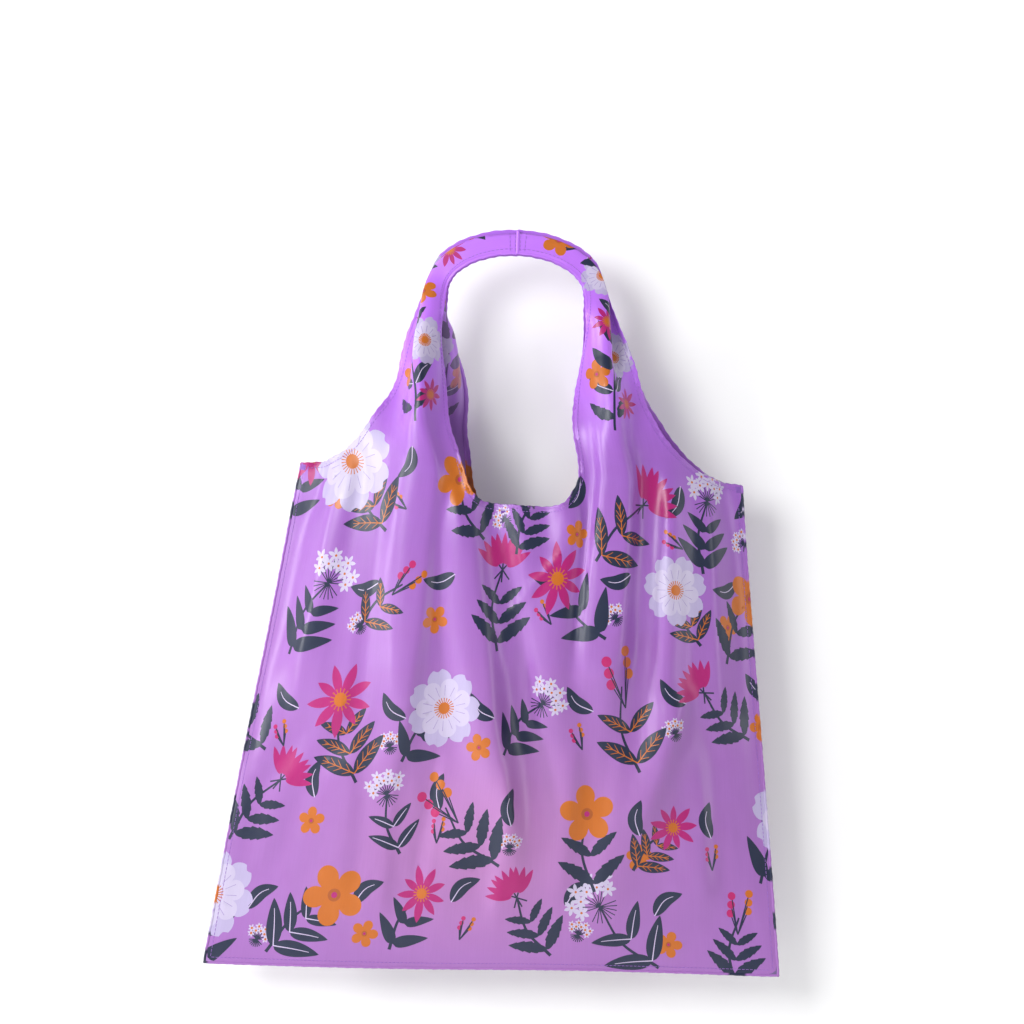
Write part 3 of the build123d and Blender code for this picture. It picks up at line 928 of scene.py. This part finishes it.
def printed_mesh():
    """The panel's triangles on the pattern, cut along the print's outlines, and their colours."""
    points = [tuple(p) for p in OUTLINE]
    edges = [(k, (k + 1) % len(points)) for k in range(len(points))]
    for _, ring in PRINT:
        first = len(points)
        points += [tuple(p) for p in ring]
        edges += [(first + k, first + (k + 1) % len(ring)) for k in range(len(ring))]
    xs, vs = np.meshgrid(np.arange(-CUT_HALF + 3, CUT_HALF, 4.0), np.arange(3, CUT_TOP, 4.0))
    ok = on_cloth(xs, vs, -1.8)
    points += list(zip(xs[ok], vs[ok]))
    got = delaunay_2d_cdt([Vector(p) for p in points], edges, [], 0, 1e-3, False)
    flat = np.array([tuple(q) for q in got[0]])
    tris = np.array([f for f in got[2] if len(f) == 3])
    middle = flat[tris].mean(axis=1)
    a, b, c = flat[tris[:, 0]], flat[tris[:, 1]], flat[tris[:, 2]]
    area = np.abs((b[:, 0] - a[:, 0]) * (c[:, 1] - a[:, 1]) - (b[:, 1] - a[:, 1]) * (c[:, 0] - a[:, 0]))
    keep = inside(middle, np.array(OUTLINE)) & (area > 1e-6)
    tris, middle = tris[keep], middle[keep]
    order = np.argsort(middle[:, 0])
    column = middle[order, 0]
    top = np.full(len(tris), -1)
    for k, (_, ring) in enumerate(PRINT):
        near = order[np.searchsorted(column, ring[:, 0].min()) : np.searchsorted(column, ring[:, 0].max())]
        near = near[(middle[near, 1] > ring[:, 1].min()) & (middle[near, 1] < ring[:, 1].max())]
        top[near[inside(middle[near], ring)]] = k
    colour = ground(flat)[tris]
    for k, (name, _) in enumerate(PRINT):
        colour[top == k] = INKS[name]
    used, tris = np.unique(tris, return_inverse=True)
    return flat[used], tris.reshape(-1, 3), colour


FLAT, TRIS, COLOUR = printed_mesh()


def panel(face):
    """One panel: front as drawn, back with the same print turned over."""
    flat = FLAT if face < 0 else FLAT * (-1, 1)
    both = sampled(HUNG, flat[:, 0], flat[:, 1])
    where = both[0 if face < 0 else 1] * MM
    name = "panel_cloth_front" if face < 0 else "panel_cloth_back"
    cloth = mesh_object(name, where, TRIS.tolist(), [CLOTH, CLOTH_INSIDE], FLAT * MM)
    layer = cloth.data.color_attributes.new("print", "BYTE_COLOR", "CORNER")
    rgba = np.ones((len(TRIS), 3, 4), np.float32)
    rgba[..., :3] = COLOUR / 255
    layer.data.foreach_set("color_srgb", rgba.ravel())
    thick = cloth.modifiers.new("thickness", "SOLIDIFY")
    thick.thickness = 0.3 * MM
    thick.offset = -1.0
    thick.material_offset = 1
    thick.material_offset_rim = 0
    return cloth


# ------------------------------------------------------------------ pieces sewn on the cloth
def surface(face, flat):
    """Places on the hung cloth and its outward normals, for points of the pattern."""
    flat = np.asarray(flat, float)
    x, v = flat[:, 0], np.clip(flat[:, 1], 0, CUT_TOP)
    k = 0 if face < 0 else 1
    x = np.clip(x, -CUT_HALF, CUT_HALF)
    here = sampled(HUNG, x, v)[k]
    right = sampled(HUNG, x + 2, v)[k] - sampled(HUNG, x - 2, v)[k]
    up = sampled(HUNG, x, v + 2)[k] - sampled(HUNG, x, v - 2)[k]
    out = np.cross(right, up) * -face
    return here, out / (np.linalg.norm(out, axis=1)[:, None] + 1e-9)


def even(line, step):
    """A line's points at even steps, and the direction to its left."""
    run = run_of(line)
    t = np.linspace(0, run[-1], max(2, int(run[-1] / step) + 1))
    pts = np.stack([np.interp(t, run, line[:, k]) for k in range(line.shape[1])], 1)
    return pts, left_of(pts), t


def tube(sections, closed=False):
    """Quads over rings of points: sections is (rings, points, 3)."""
    n, m = sections.shape[:2]
    faces = []
    for i in range(n if closed else n - 1):
        a, b = i * m, (i + 1) % n * m
        faces += [(a + k, a + (k + 1) % m, b + (k + 1) % m, b + k) for k in range(m)]
    if not closed:
        faces += [tuple(range(m))[::-1], tuple(range((n - 1) * m, n * m))]
    return sections.reshape(-1, 3), faces


def paint(obj, flat):
    """Gives a piece of the same cloth the colours of the print where it lies on the pattern."""
    flat = np.asarray(flat, float)
    colour = ground(flat)
    for name, ring in PRINT:
        low, high = ring.min(axis=0), ring.max(axis=0)
        near = np.nonzero(((flat > low) & (flat < high)).all(axis=1))[0]
        colour[near[inside(flat[near], ring)]] = INKS[name]
    corner = np.empty(len(obj.data.loops), int)
    obj.data.loops.foreach_get("vertex_index", corner)
    layer = obj.data.color_attributes.new("print", "BYTE_COLOR", "CORNER")
    rgba = np.ones((len(corner), 4), np.float32)
    rgba[:, :3] = colour[corner] / 255
    layer.data.foreach_set("color_srgb", rgba.ravel())


HEM_WIDTH = 6.0
# The hem's outline across the edge: how far in from it, and how far out of the cloth.
HEM_SHAPE = [
    (1.3, 0.06), (0.3, 0.22), (-0.35, 0.0), (-0.35, -0.5), (0.4, -0.85),
    (HEM_WIDTH * 0.5, -0.8), (HEM_WIDTH, -0.7), (HEM_WIDTH, -0.34),
]


def hem(name, line):
    """The edge turned in twice: a thin roll round the edge and a strip on the inside."""
    pts, left, t = even(line, 1.5)
    ripple = 0.25 * np.sin(t / 9.0 * 2 * np.pi) + 0.15 * np.sin(t / 23.0 * 2 * np.pi)
    out = []
    for face in (-1, 1):
        rings, flats = [], []
        for into, lift in HEM_SHAPE:
            flat = pts + left * (into + ripple * (into < 1))[:, None]
            here, normal = surface(face, flat)
            rings.append(here + normal * lift)
            flats.append(flat)
        verts, faces = tube(np.stack(rings, 1))
        flats = np.stack(flats, 1).reshape(-1, 2)
        side = "front" if face < 0 else "back"
        obj = mesh_object(f"{name}_{side}", verts * MM, faces, [CLOTH], flats * MM)
        paint(obj, flats)
        out.append(obj)
    return out


def thread_mesh(runs, radius):
    """Stitches: each run is four points, dipping into the cloth at both ends, with normals."""
    verts, faces = [], []
    for p, normal in runs:
        side = np.cross(way_of(p), normal) * radius
        ring = np.stack([p + side, p + normal * radius, p - side, p - normal * radius * 0.6], 1)
        points, quads = tube(ring)
        first = len(points) * len(verts)
        verts.append(points)
        faces += [tuple(first + k for k in quad) for quad in quads]
    return np.vstack(verts), faces


def stitches(name, rows, length=2.7, gap=0.8, radius=0.24, lift=0.2):
    """Rows of stitches on the cloth; a row is a face and a line on the pattern."""
    runs = []
    for face, line in rows:
        pts, _, t = even(np.asarray(line, float), 0.9)
        starts = np.arange(0.5, t[-1] - length, length + gap)
        if not len(starts):
            starts = np.array([0.0])
        rise = np.array([-0.25, lift, lift, -0.25])
        u = (starts[:, None] + np.array([0, 0.2, 0.8, 1.0])[None] * min(length, t[-1])).ravel()
        flat = np.stack([np.interp(u, t, pts[:, 0]), np.interp(u, t, pts[:, 1])], 1)
        here, normal = surface(face, flat)
        here = here.reshape(-1, 4, 3) + normal.reshape(-1, 4, 3) * rise[None, :, None]
        runs += list(zip(here, normal.reshape(-1, 4, 3)))
    verts, faces = thread_mesh(runs, radius)
    return mesh_object(name, verts * MM, faces, [THREAD])


def beside(line, by):
    """A line moved to its left."""
    pts, left, _ = even(np.asarray(line, float), 3.0)
    return pts + left * by


def across_hinge(obj):
    """Bakes a piece's place in the world into its mesh."""
    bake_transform(obj)


def satin_thread(name, rgb):
    """Glossy sewing thread of one colour."""
    m = Nodes(name)
    m.set(Base_Color=m.tint(linear(rgb), m.noise(m.place, 2600.0, 2.0), 0.75, 1.15))
    m.set(Normal=m.bump(m.noise(m.place, 2400.0, 1.0), 0.5, 0.0001), Roughness=0.42, Sheen_Weight=0.2)
    return m.mat


THREAD = satin_thread("violet_thread", (150, 98, 196))
NECK_WHOLE = np.vstack([NECK_LINE, (NECK_LINE * (-1, 1))[-2::-1]])
ARM_RIGHT = ARM_LINE
ARM_LEFT = (ARM_LINE * (-1, 1))[::-1]

neck_hems = hem("mouth_hem", NECK_WHOLE)
right_hems = hem("right_arm_hem", ARM_RIGHT)
left_hems = hem("left_arm_hem", ARM_LEFT)
for k, (side, face, handle) in enumerate((("front", -1, "front_handle"), ("back", 1, "back_handle"))):
    rows = [(face, beside(line, 4.6)) for line in (NECK_WHOLE, ARM_RIGHT, ARM_LEFT)]
    for below in (2.5, 6.0):
        rows += [(face, [(s * 82, CUT_TOP - below), (s * 144, CUT_TOP - below)]) for s in (-1, 1)]
    sewing = stitches(f"hem_stitches_{side}", rows)
    u = np.linspace(0.0, 1.0, 60)
    spine = gathered(80.0 + 65.0 * u, np.full(60, CUT_TOP), face)
    spine[:, 0] = 0
    a = np.linspace(0, 2 * np.pi, 8, endpoint=False)
    over = np.cross(way_of(spine), (1.0, 0, 0))
    rings = [spine + np.cos(t) * np.array([1.5, 0, 0]) + np.sin(t) * 0.42 * over for t in a]
    verts, faces = tube(np.stack(rings, 1))
    join = mesh_object(f"handle_seam_{side}", verts * MM, faces, [CLOTH], (verts[:, [0, 2]]) * MM)
    paint(join, np.tile([[110.0, CUT_TOP]], (len(verts), 1)))
    pieces = [neck_hems[k], right_hems[k], left_hems[k], sewing, join]
    for piece, slot in zip(pieces, ("hem_cloth", "hem_cloth", "hem_cloth", "thread", "seam_cloth")):
        across_hinge(piece)
    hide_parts(f"{side}_mouth_hem")
    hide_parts(f"{side}_right_arm_hem")
    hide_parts(f"{side}_left_arm_hem")
    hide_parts(f"{side}_handle_join")


# The rolled seam's outline: how far in from the edge, and how far to either side of it.
ROLL_HALF = [(-0.5, 0.5), (0.2, 0.78), (1.0, 0.62), (1.6, 0.1)]
ROLL_SHAPE = [(-0.75, 0), *ROLL_HALF, *[(a, -b) for a, b in ROLL_HALF[::-1]]]


def edge_seam(name, flat, inward):
    """The two panels' edges rolled together along a line of the pattern, a little puckered."""
    pts, _, t = even(np.asarray(flat, float), 2.5)
    line = sampled(HUNG, pts[:, 0], pts[:, 1])[0]
    deep = pts + np.array(inward) * 8.0
    into = sampled(HUNG, deep[:, 0], deep[:, 1]).mean(axis=0) - line
    into = unit(into * (1, 0, 1))
    over = np.cross(way_of(line), into)
    pucker = (0.22 * np.sin(t / 7.5 * 2 * np.pi) + 0.16 * np.sin(t / 19.0 * 2 * np.pi + 1))[:, None]
    rings = [line + into * (a + pucker * 0.6) + over * (b * (1 + 0.35 * pucker)) for a, b in ROLL_SHAPE]
    verts, faces = tube(np.stack(rings, 1))
    around = len(ROLL_SHAPE)
    flats = np.repeat(pts, around, axis=0)
    uvs = flats * MM + np.tile(np.arange(around) * 0.0004, len(pts))[:, None]
    obj = mesh_object(name, verts * MM, faces, [CLOTH], uvs)
    paint(obj, flats)
    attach(obj, "bag")
    return obj


SIDE_V = np.arange(0, CUT_SIDE + 0.1, 2.5)
for name, s in (("left_side", -1), ("right_side", 1)):
    roll = edge_seam(f"{name}_seam_roll", [(s * CUT_HALF, v) for v in SIDE_V], (-s, 0))
    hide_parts(f"{name}_seam")
roll = edge_seam("bottom_seam_roll", [(x, 0.0) for x in np.arange(-CUT_HALF, CUT_HALF + 1, 2.5)], (0, 1))
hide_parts("bottom_seam")
SEAM_IN = CUT_HALF - 5.5  # the seams' stitching lies this far out on the pattern
rows = []
for face in (-1, 1):
    rows += [(face, [(s * SEAM_IN, 5.5), (s * SEAM_IN, 424)]) for s in (-1, 1)]
    rows += [(face, [(-SEAM_IN, 5.5), (SEAM_IN, 5.5)])]
sewing = stitches("seam_stitches", rows)
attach(sewing, "bag")
rows = []
for face in (-1, 1):
    for s in (-1, 1):
        rows += [(face, [(s * 249.5, 424.5 + 0.55 * k), (s * 242.0, 424.2 + 0.55 * k)]) for k in range(9)]
tacks = stitches("shoulder_bar_tacks", rows, length=7.4, gap=0.1, radius=0.3, lift=0.25)
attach(tacks, "bag")
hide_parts("shoulder_tacks")


# ------------------------------------------------------------------ label
def sheet_grid(rows, cols, where, name, mats, thickness):
    """A sheet from where(s, t) over the unit square, with thickness."""
    s, t = np.meshgrid(np.linspace(0, 1, cols + 1), np.linspace(0, 1, rows + 1))
    verts = np.asarray(where(s.ravel(), t.ravel()))
    n = cols + 1
    corners = [r * n + c for r in range(rows) for c in range(cols)]
    faces = [(k, k + 1, k + n + 1, k + n) for k in corners]
    obj = mesh_object(name, verts * MM, faces, mats, np.stack([s.ravel(), t.ravel()], 1))
    if thickness:
        thick = obj.modifiers.new("thickness", "SOLIDIFY")
        thick.thickness = thickness * MM
        thick.offset = 0
    return obj


LABEL_LOW, LABEL_HIGH = node_mm("care_label")


def label_at(s, t):
    """A ribbon out of the seam, over, and back into it."""
    u = np.abs(2 * s - 1)
    side = np.sign(0.5 - s)
    z = LABEL_LOW[2] + (LABEL_HIGH[2] - LABEL_LOW[2]) * t
    sewn = np.interp(z, [LABEL_LOW[2], LABEL_HIGH[2]], [-221.0, -216.0])
    tip = LABEL_HIGH[0] + 6 + 0.8 * np.sin(3 * t)
    x = tip + (sewn - tip) * u
    y = side * (0.12 + 0.75 * np.sin(np.pi * np.clip(u, 0, 1)) ** 0.8) + 0.5 * np.sin(2.2 * t + 0.4) * (1 - u)
    return np.stack([x, y, z], 1)


def label_cloth():
    """Woven satin ribbon with a plain border, and nothing written on it."""
    m = Nodes("label_satin")
    across = m.add("ShaderNodeSeparateXYZ", [(0, m.uv)]).outputs[1]
    edge = m.math("ABSOLUTE", m.math("MULTIPLY", m.math("SUBTRACT", across, 0.5), 2.0), 0.0)
    band = m.math("MULTIPLY", m.math("GREATER_THAN", edge, 0.84), m.math("LESS_THAN", edge, 0.90))
    ribbon = m.mix(band, linear((240, 236, 242)), linear((176, 140, 204)))
    m.set(Base_Color=m.tint(ribbon, m.noise(m.uv, 120.0, 2.0, (1, 8, 1)), 0.93, 1.03))
    m.set(Normal=m.bump(m.noise(m.uv, 90.0, 2.0, (1, 12, 1)), 0.3, 0.0001), Roughness=0.33, Sheen_Weight=0.25)
    return m.mat


label = sheet_grid(16, 44, label_at, "care_label_ribbon", [label_cloth()], 0.22)
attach(label, "bag")
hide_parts("care_label")

# ------------------------------------------------------------------ pouch
POUCH_LOW, POUCH_HIGH = node_mm("pouch_binding")
POUCH_CLOTH = woven("pouch_satin", (168, 116, 208), 0.00034, 0.42, fuzz=0.3)
BINDING_TAPE = woven("binding_tape", (128, 78, 176), 0.0007, 0.55)
ZIP_TAPE = woven("zip_tape_twill", (104, 64, 150), 0.0006, 0.6)


def pouch_face(name, node, y_mid, bulge):
    """One face of the pouch, a little larger than its node and softly rippled."""
    low, high = node_mm(node)

    def where(s, t):
        x = (low[0] - 1.5) + (high[0] - low[0] + 3) * s
        z = (low[2] - 1.5) + (high[2] - low[2] + (3 if node == "pouch_front" else 2)) * t
        soft = np.sin(np.pi * s) * np.sin(np.pi * t)
        ripple = 0.22 * np.sin(7 * s + 9 * t) + 0.16 * np.sin(17 * s - 6 * t + 1)
        y = y_mid + soft * (bulge + ripple) + 0.10 * np.sin(60 * s) * (1 - soft)
        return np.stack([x, y, z], 1)

    return sheet_grid(46, 44, where, name, [POUCH_CLOTH], 0.35)


def rounded_path(half_x, low_z, high_z, radius, step=2.2):
    """A closed rounded rectangle across and up, with its inward normals."""
    pts, normal = [], []
    right, low, high = half_x - radius, low_z + radius, high_z - radius
    corners = ((right, low, -90), (right, high, 0), (-right, high, 90), (-right, low, 180))
    for k, (cx, cz, start) in enumerate(corners):
        for angle in np.radians(np.linspace(start, start + 90, 7)):
            pts.append((cx + radius * math.cos(angle), cz + radius * math.sin(angle)))
            normal.append((-math.cos(angle), -math.sin(angle)))
        nx, nz, turn = corners[(k + 1) % 4]
        out = np.array([math.cos(math.radians(turn)), math.sin(math.radians(turn))])
        here, end = np.array(pts[-1]), np.array([nx, nz]) + radius * out
        n = int(np.linalg.norm(end - here) / step)
        for j in range(1, n):
            pts.append(tuple(here + (end - here) * j / n))
            normal.append(tuple(-out))
    return np.array(pts), np.array(normal)


# The binding's outline: how far in from the pouch's edge, and how far out to one side.
BINDING_OUTER = [(4.0, 1.75), (2.2, 2.28), (0.7, 2.1), (0.1, 1.2)]
BINDING_INNER = [(4.0, 1.2), (2.0, 1.2)]
BINDING_SHAPE = [
    *[(a, -y) for a, y in BINDING_OUTER], (0, 0), *BINDING_OUTER[::-1],
    *BINDING_INNER, *[(a, -y) for a, y in BINDING_INNER[::-1]],
]


def binding():
    """A tape folded over the pouch's edge all round."""
    path, inward = rounded_path(POUCH_HIGH[0] - 0.15, POUCH_LOW[2] + 0.15, POUCH_HIGH[2] - 0.15, 4.2)
    y_mid = (POUCH_LOW[1] + POUCH_HIGH[1]) / 2
    n = np.arange(len(path))
    rings = []
    for into, y in BINDING_SHAPE:
        flat = path + inward * (into + 0.10 * np.sin(n * 1.7)[:, None] * (into > 1))
        rings.append(np.stack([flat[:, 0], y_mid + y * (1 + 0.02 * np.sin(n * 2.1)), flat[:, 1]], 1))
    verts, faces = tube(np.stack(rings, 1), closed=True)
    return mesh_object("pouch_binding_tape", verts * MM, faces, [BINDING_TAPE])


def binding_stitches():
    """One row of stitches through the binding on each side of the pouch."""
    inset = 3.2
    path, _ = rounded_path(POUCH_HIGH[0] - inset, POUCH_LOW[2] + inset, POUCH_HIGH[2] - inset, 1.4, 1.0)
    loop = np.vstack([path, path[:1]])
    run = run_of(loop)
    runs = []
    for y, way in ((POUCH_LOW[1], -1), (POUCH_HIGH[1], 1)):
        for start in np.arange(0, run[-1] - 2.6, 3.3):
            t = start + np.array([0, 0.5, 2.0, 2.5])
            x, z = np.interp(t, run, loop[:, 0]), np.interp(t, run, loop[:, 1])
            rise = np.array([0.45, 0.02, 0.02, 0.45])
            p = np.stack([x, y - way * rise, z], 1)
            runs.append((p, np.tile([[0.0, way, 0.0]], (4, 1))))
    verts, faces = thread_mesh(runs, 0.2)
    return mesh_object("pouch_stitches", verts * MM, faces, [THREAD])


def zip_coil(name, node):
    """One row of a nylon coil zip."""
    low, high = node_mm(node)
    mid, half = (low + high) / 2, (high - low) / 2
    wire, pitch = 0.2, 1.25
    turns = int((high[0] - low[0]) / pitch)
    a = np.linspace(0, 2 * np.pi * turns, turns * 12)
    y, z = mid[1] + (half[1] - wire) * np.sin(a), mid[2] + (half[2] - wire) * np.cos(a)
    spine = np.stack([low[0] + (high[0] - low[0]) * a / a[-1], y, z], 1)
    way = way_of(spine)
    side = unit(np.cross(way, (1.0, 0, 0)))
    over = np.cross(way, side)
    ring = np.linspace(0, 2 * np.pi, 6, endpoint=False)
    verts, faces = tube(np.stack([spine + wire * (np.cos(t) * side + np.sin(t) * over) for t in ring], 1))
    obj = mesh_object(name, verts * MM, faces, [ZIP_COIL])
    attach(obj, "pouch")
    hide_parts(node)
    return obj


def zip_tape(name, node):
    """A woven zip tape, a little wavy away from the teeth."""
    low, high = node_mm(node)

    def where(s, t):
        edge = 1 if node == "zip_tape_upper" else -1
        x = low[0] - 1.2 + (high[0] - low[0] + 2.4) * s
        z = low[2] + (high[2] - low[2]) * t
        y = (low[1] + high[1]) / 2 + 0.07 * np.sin(46 * s) * (t if edge > 0 else 1 - t)
        return np.stack([x, y, z], 1)

    obj = sheet_grid(8, 90, where, name, [ZIP_TAPE], 0.6)
    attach(obj, "pouch")
    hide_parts(node)
    return obj


def moulded(name, rgb, gloss):
    """Moulded nylon of one colour."""
    m = Nodes(name)
    m.set(Base_Color=m.tint(linear(rgb), m.noise(m.place, 700.0), 0.86, 1.1))
    m.set(Roughness=m.spread(m.noise(m.place, 400.0), gloss - 0.06, gloss + 0.08))
    m.set(Normal=m.bump(m.noise(m.place, 1500.0), 0.15, 0.00005))
    return m.mat


def zinc():
    """Dark plated zinc, brighter where it rubs."""
    m = Nodes("zip_zinc")
    worn = m.add("ShaderNodeNewGeometry").outputs["Pointiness"]
    rub = m.spread(worn, 0.0, 1.0, 0.50, 0.60)
    coat = m.mix(rub, linear((126, 120, 138)), linear((206, 204, 212)))
    m.set(Base_Color=m.tint(coat, m.noise(m.place, 900.0, 4.0), 0.82, 1.06), Metallic=1.0)
    m.set(Roughness=m.spread(m.noise(m.place, 600.0), 0.22, 0.42))
    m.set(Normal=m.bump(m.noise(m.place, 1800.0), 0.12, 0.00005))
    return m.mat


ZIP_COIL = moulded("zip_nylon", (92, 54, 138), 0.34)
front = pouch_face("pouch_face_front", "pouch_front", -36.9, -0.25)
back = pouch_face("pouch_face_back", "pouch_back", -33.1, 0.25)
bound = binding()
sewn = binding_stitches()
tapes = [zip_tape(f"zip_tape_{k}_woven", f"zip_tape_{k}") for k in ("upper", "lower")]
coils = [zip_coil(f"zip_coil_{k}", f"zip_row_{k}") for k in ("upper", "lower")]
for piece, node, slot in (
    (front, "pouch_front", "pouch_cloth"),
    (back, "pouch_back", "pouch_cloth"),
    (bound, "pouch_binding", "binding"),
):
    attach(piece, "pouch")
    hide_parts(node)
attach(sewn, "pouch")

TAPE_LOW, TAPE_HIGH = node_mm("pouch_tape")


def tape_at(s, t):
    """The hanging tape, doubled, from the pouch's binding up to the mouth hem."""
    path = np.array([(-35.0, -241.6), (-36.2, -238.6), (-39.6, -234.4), (-42.6, -231.7), (-43.45, -230.95)])
    line = smooth_line(path, 0.4)
    f = np.linspace(0, 1, len(line))
    y, z = np.interp(t, f, line[:, 0]), np.interp(t, f, line[:, 1])
    x = TAPE_LOW[0] + 0.1 + (TAPE_HIGH[0] - TAPE_LOW[0] - 0.2) * s
    return np.stack([x, y + 0.05 * np.sin(12 * s), z], 1)


tape = sheet_grid(18, 14, tape_at, "pouch_hanging_tape", [BINDING_TAPE], 0.9)
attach(tape, "pouch")
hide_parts("pouch_tape")
metal = zinc()
for node in ("zip_slider", "zip_pull", "zip_stops"):
    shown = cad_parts[node]
    shown.data.materials.clear()
    shown.data.materials.append(metal)


for face, node, handle in ((-1, "front", "front_handle"), (1, "back", "back_handle")):
    cloth = panel(face)
    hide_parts(f"{node}_panel", f"{node}_left_strap", f"{node}_right_strap")
    across_hinge(cloth)

# ------------------------------------------------------------------ stage, light, camera
def paper(name, see_through_and_glowing=False):
    """Matt white paper. The wall lets a view from behind through, and glows faintly as painted light that
    lifts its shadows and lights the bag's back.
    """
    m = Nodes(name)
    m.set(Base_Color=m.tint((0.9, 0.9, 0.9), m.noise(m.place, 3.0), 0.985, 1.0))
    m.set(Roughness=0.9, Specular_IOR_Level=0.1)
    if see_through_and_glowing:
        # Painted light: the wall glows faintly, lifting its shadows and lighting the bag's back.
        m.set(Emission_Color=(1, 1, 1, 1), Emission_Strength=0.09)
        behind = m.add("ShaderNodeNewGeometry").outputs["Backfacing"]
        clear = m.add("ShaderNodeBsdfTransparent").outputs[0]
        either = m.add("ShaderNodeMixShader", [(0, behind), (1, m.bsdf.outputs[0]), (2, clear)])
        m.feed(m.tree.nodes["Material Output"].inputs["Surface"], either.outputs[0])
    return m.mat


def soft_light(name, place, aim, energy, wide, high):
    """A rectangular lamp of so many watts and metres, aimed at a place."""
    light = bpy.data.lights.new(name, "AREA")
    light.shape = "RECTANGLE"
    light.energy = energy
    light.size = wide
    light.size_y = high
    lamp = bpy.data.objects.new(name, light)
    lamp.location = place
    lamp.rotation_euler = (Vector(aim) - lamp.location).to_track_quat("-Z", "Y").to_euler()
    bpy.context.scene.collection.objects.link(lamp)


def studio():
    """A wall just behind the bag, glowing faintly as painted light, a floor a metre under the grip, and three
    soft lights.
    """
    wall_y, floor_z, half, top = 0.062, -1.0, 6, 4
    upright = [(-half, wall_y, floor_z), (half, wall_y, floor_z), (half, wall_y, top), (-half, wall_y, top)]
    level = [(-half, -half, floor_z), (half, -half, floor_z), (half, half, floor_z), (-half, half, floor_z)]
    wall = mesh_object("backdrop", upright, [(0, 1, 2, 3)], [paper("glowing_backdrop_paper", True)])
    floor = mesh_object("floor", level, [(0, 1, 2, 3)], [paper("floor_paper")])
    world = bpy.data.worlds.new("studio")
    bpy.context.scene.world = world
    world.use_nodes = True
    world.node_tree.nodes["Background"].inputs["Color"].default_value = (0.98, 0.99, 1, 1)
    world.node_tree.nodes["Background"].inputs["Strength"].default_value = 0.43
    soft_light("key", (-1.25, -1.95, 0.5), (0, 0, -0.3), 36, 0.95, 1.1)
    soft_light("strip", (-2.1, -0.85, 0.0), (0, 0, -0.35), 22, 0.25, 1.4)
    soft_light("side", (1.7, -0.8, -0.2), (0, 0, -0.35), 5, 0.25, 1.2)


def camera():
    """A level view of the front from a little above the middle, turned a little in the picture."""
    data = bpy.data.cameras.new("camera")
    cam = bpy.data.objects.new("camera", data)
    bpy.context.scene.collection.objects.link(cam)
    turn = math.radians(2.1)
    right = Vector((math.cos(turn), 0, math.sin(turn)))
    up = Vector((-math.sin(turn), 0, math.cos(turn)))
    distance = 2.6
    seen = 0.88  # the picture's width at the bag, in metres
    aim_right, aim_up = -0.005, -0.2315
    data.sensor_width = 36
    data.lens = data.sensor_width * distance / seen
    middle = right * aim_right + up * aim_up
    place = Matrix((right, up, Vector((0, -1, 0)))).transposed().to_4x4()
    place.translation = middle + Vector((0, -distance, 0))
    cam.matrix_world = place
    bpy.context.scene.camera = cam
    bpy.context.scene.view_settings.view_transform = "Standard"


studio()
camera()
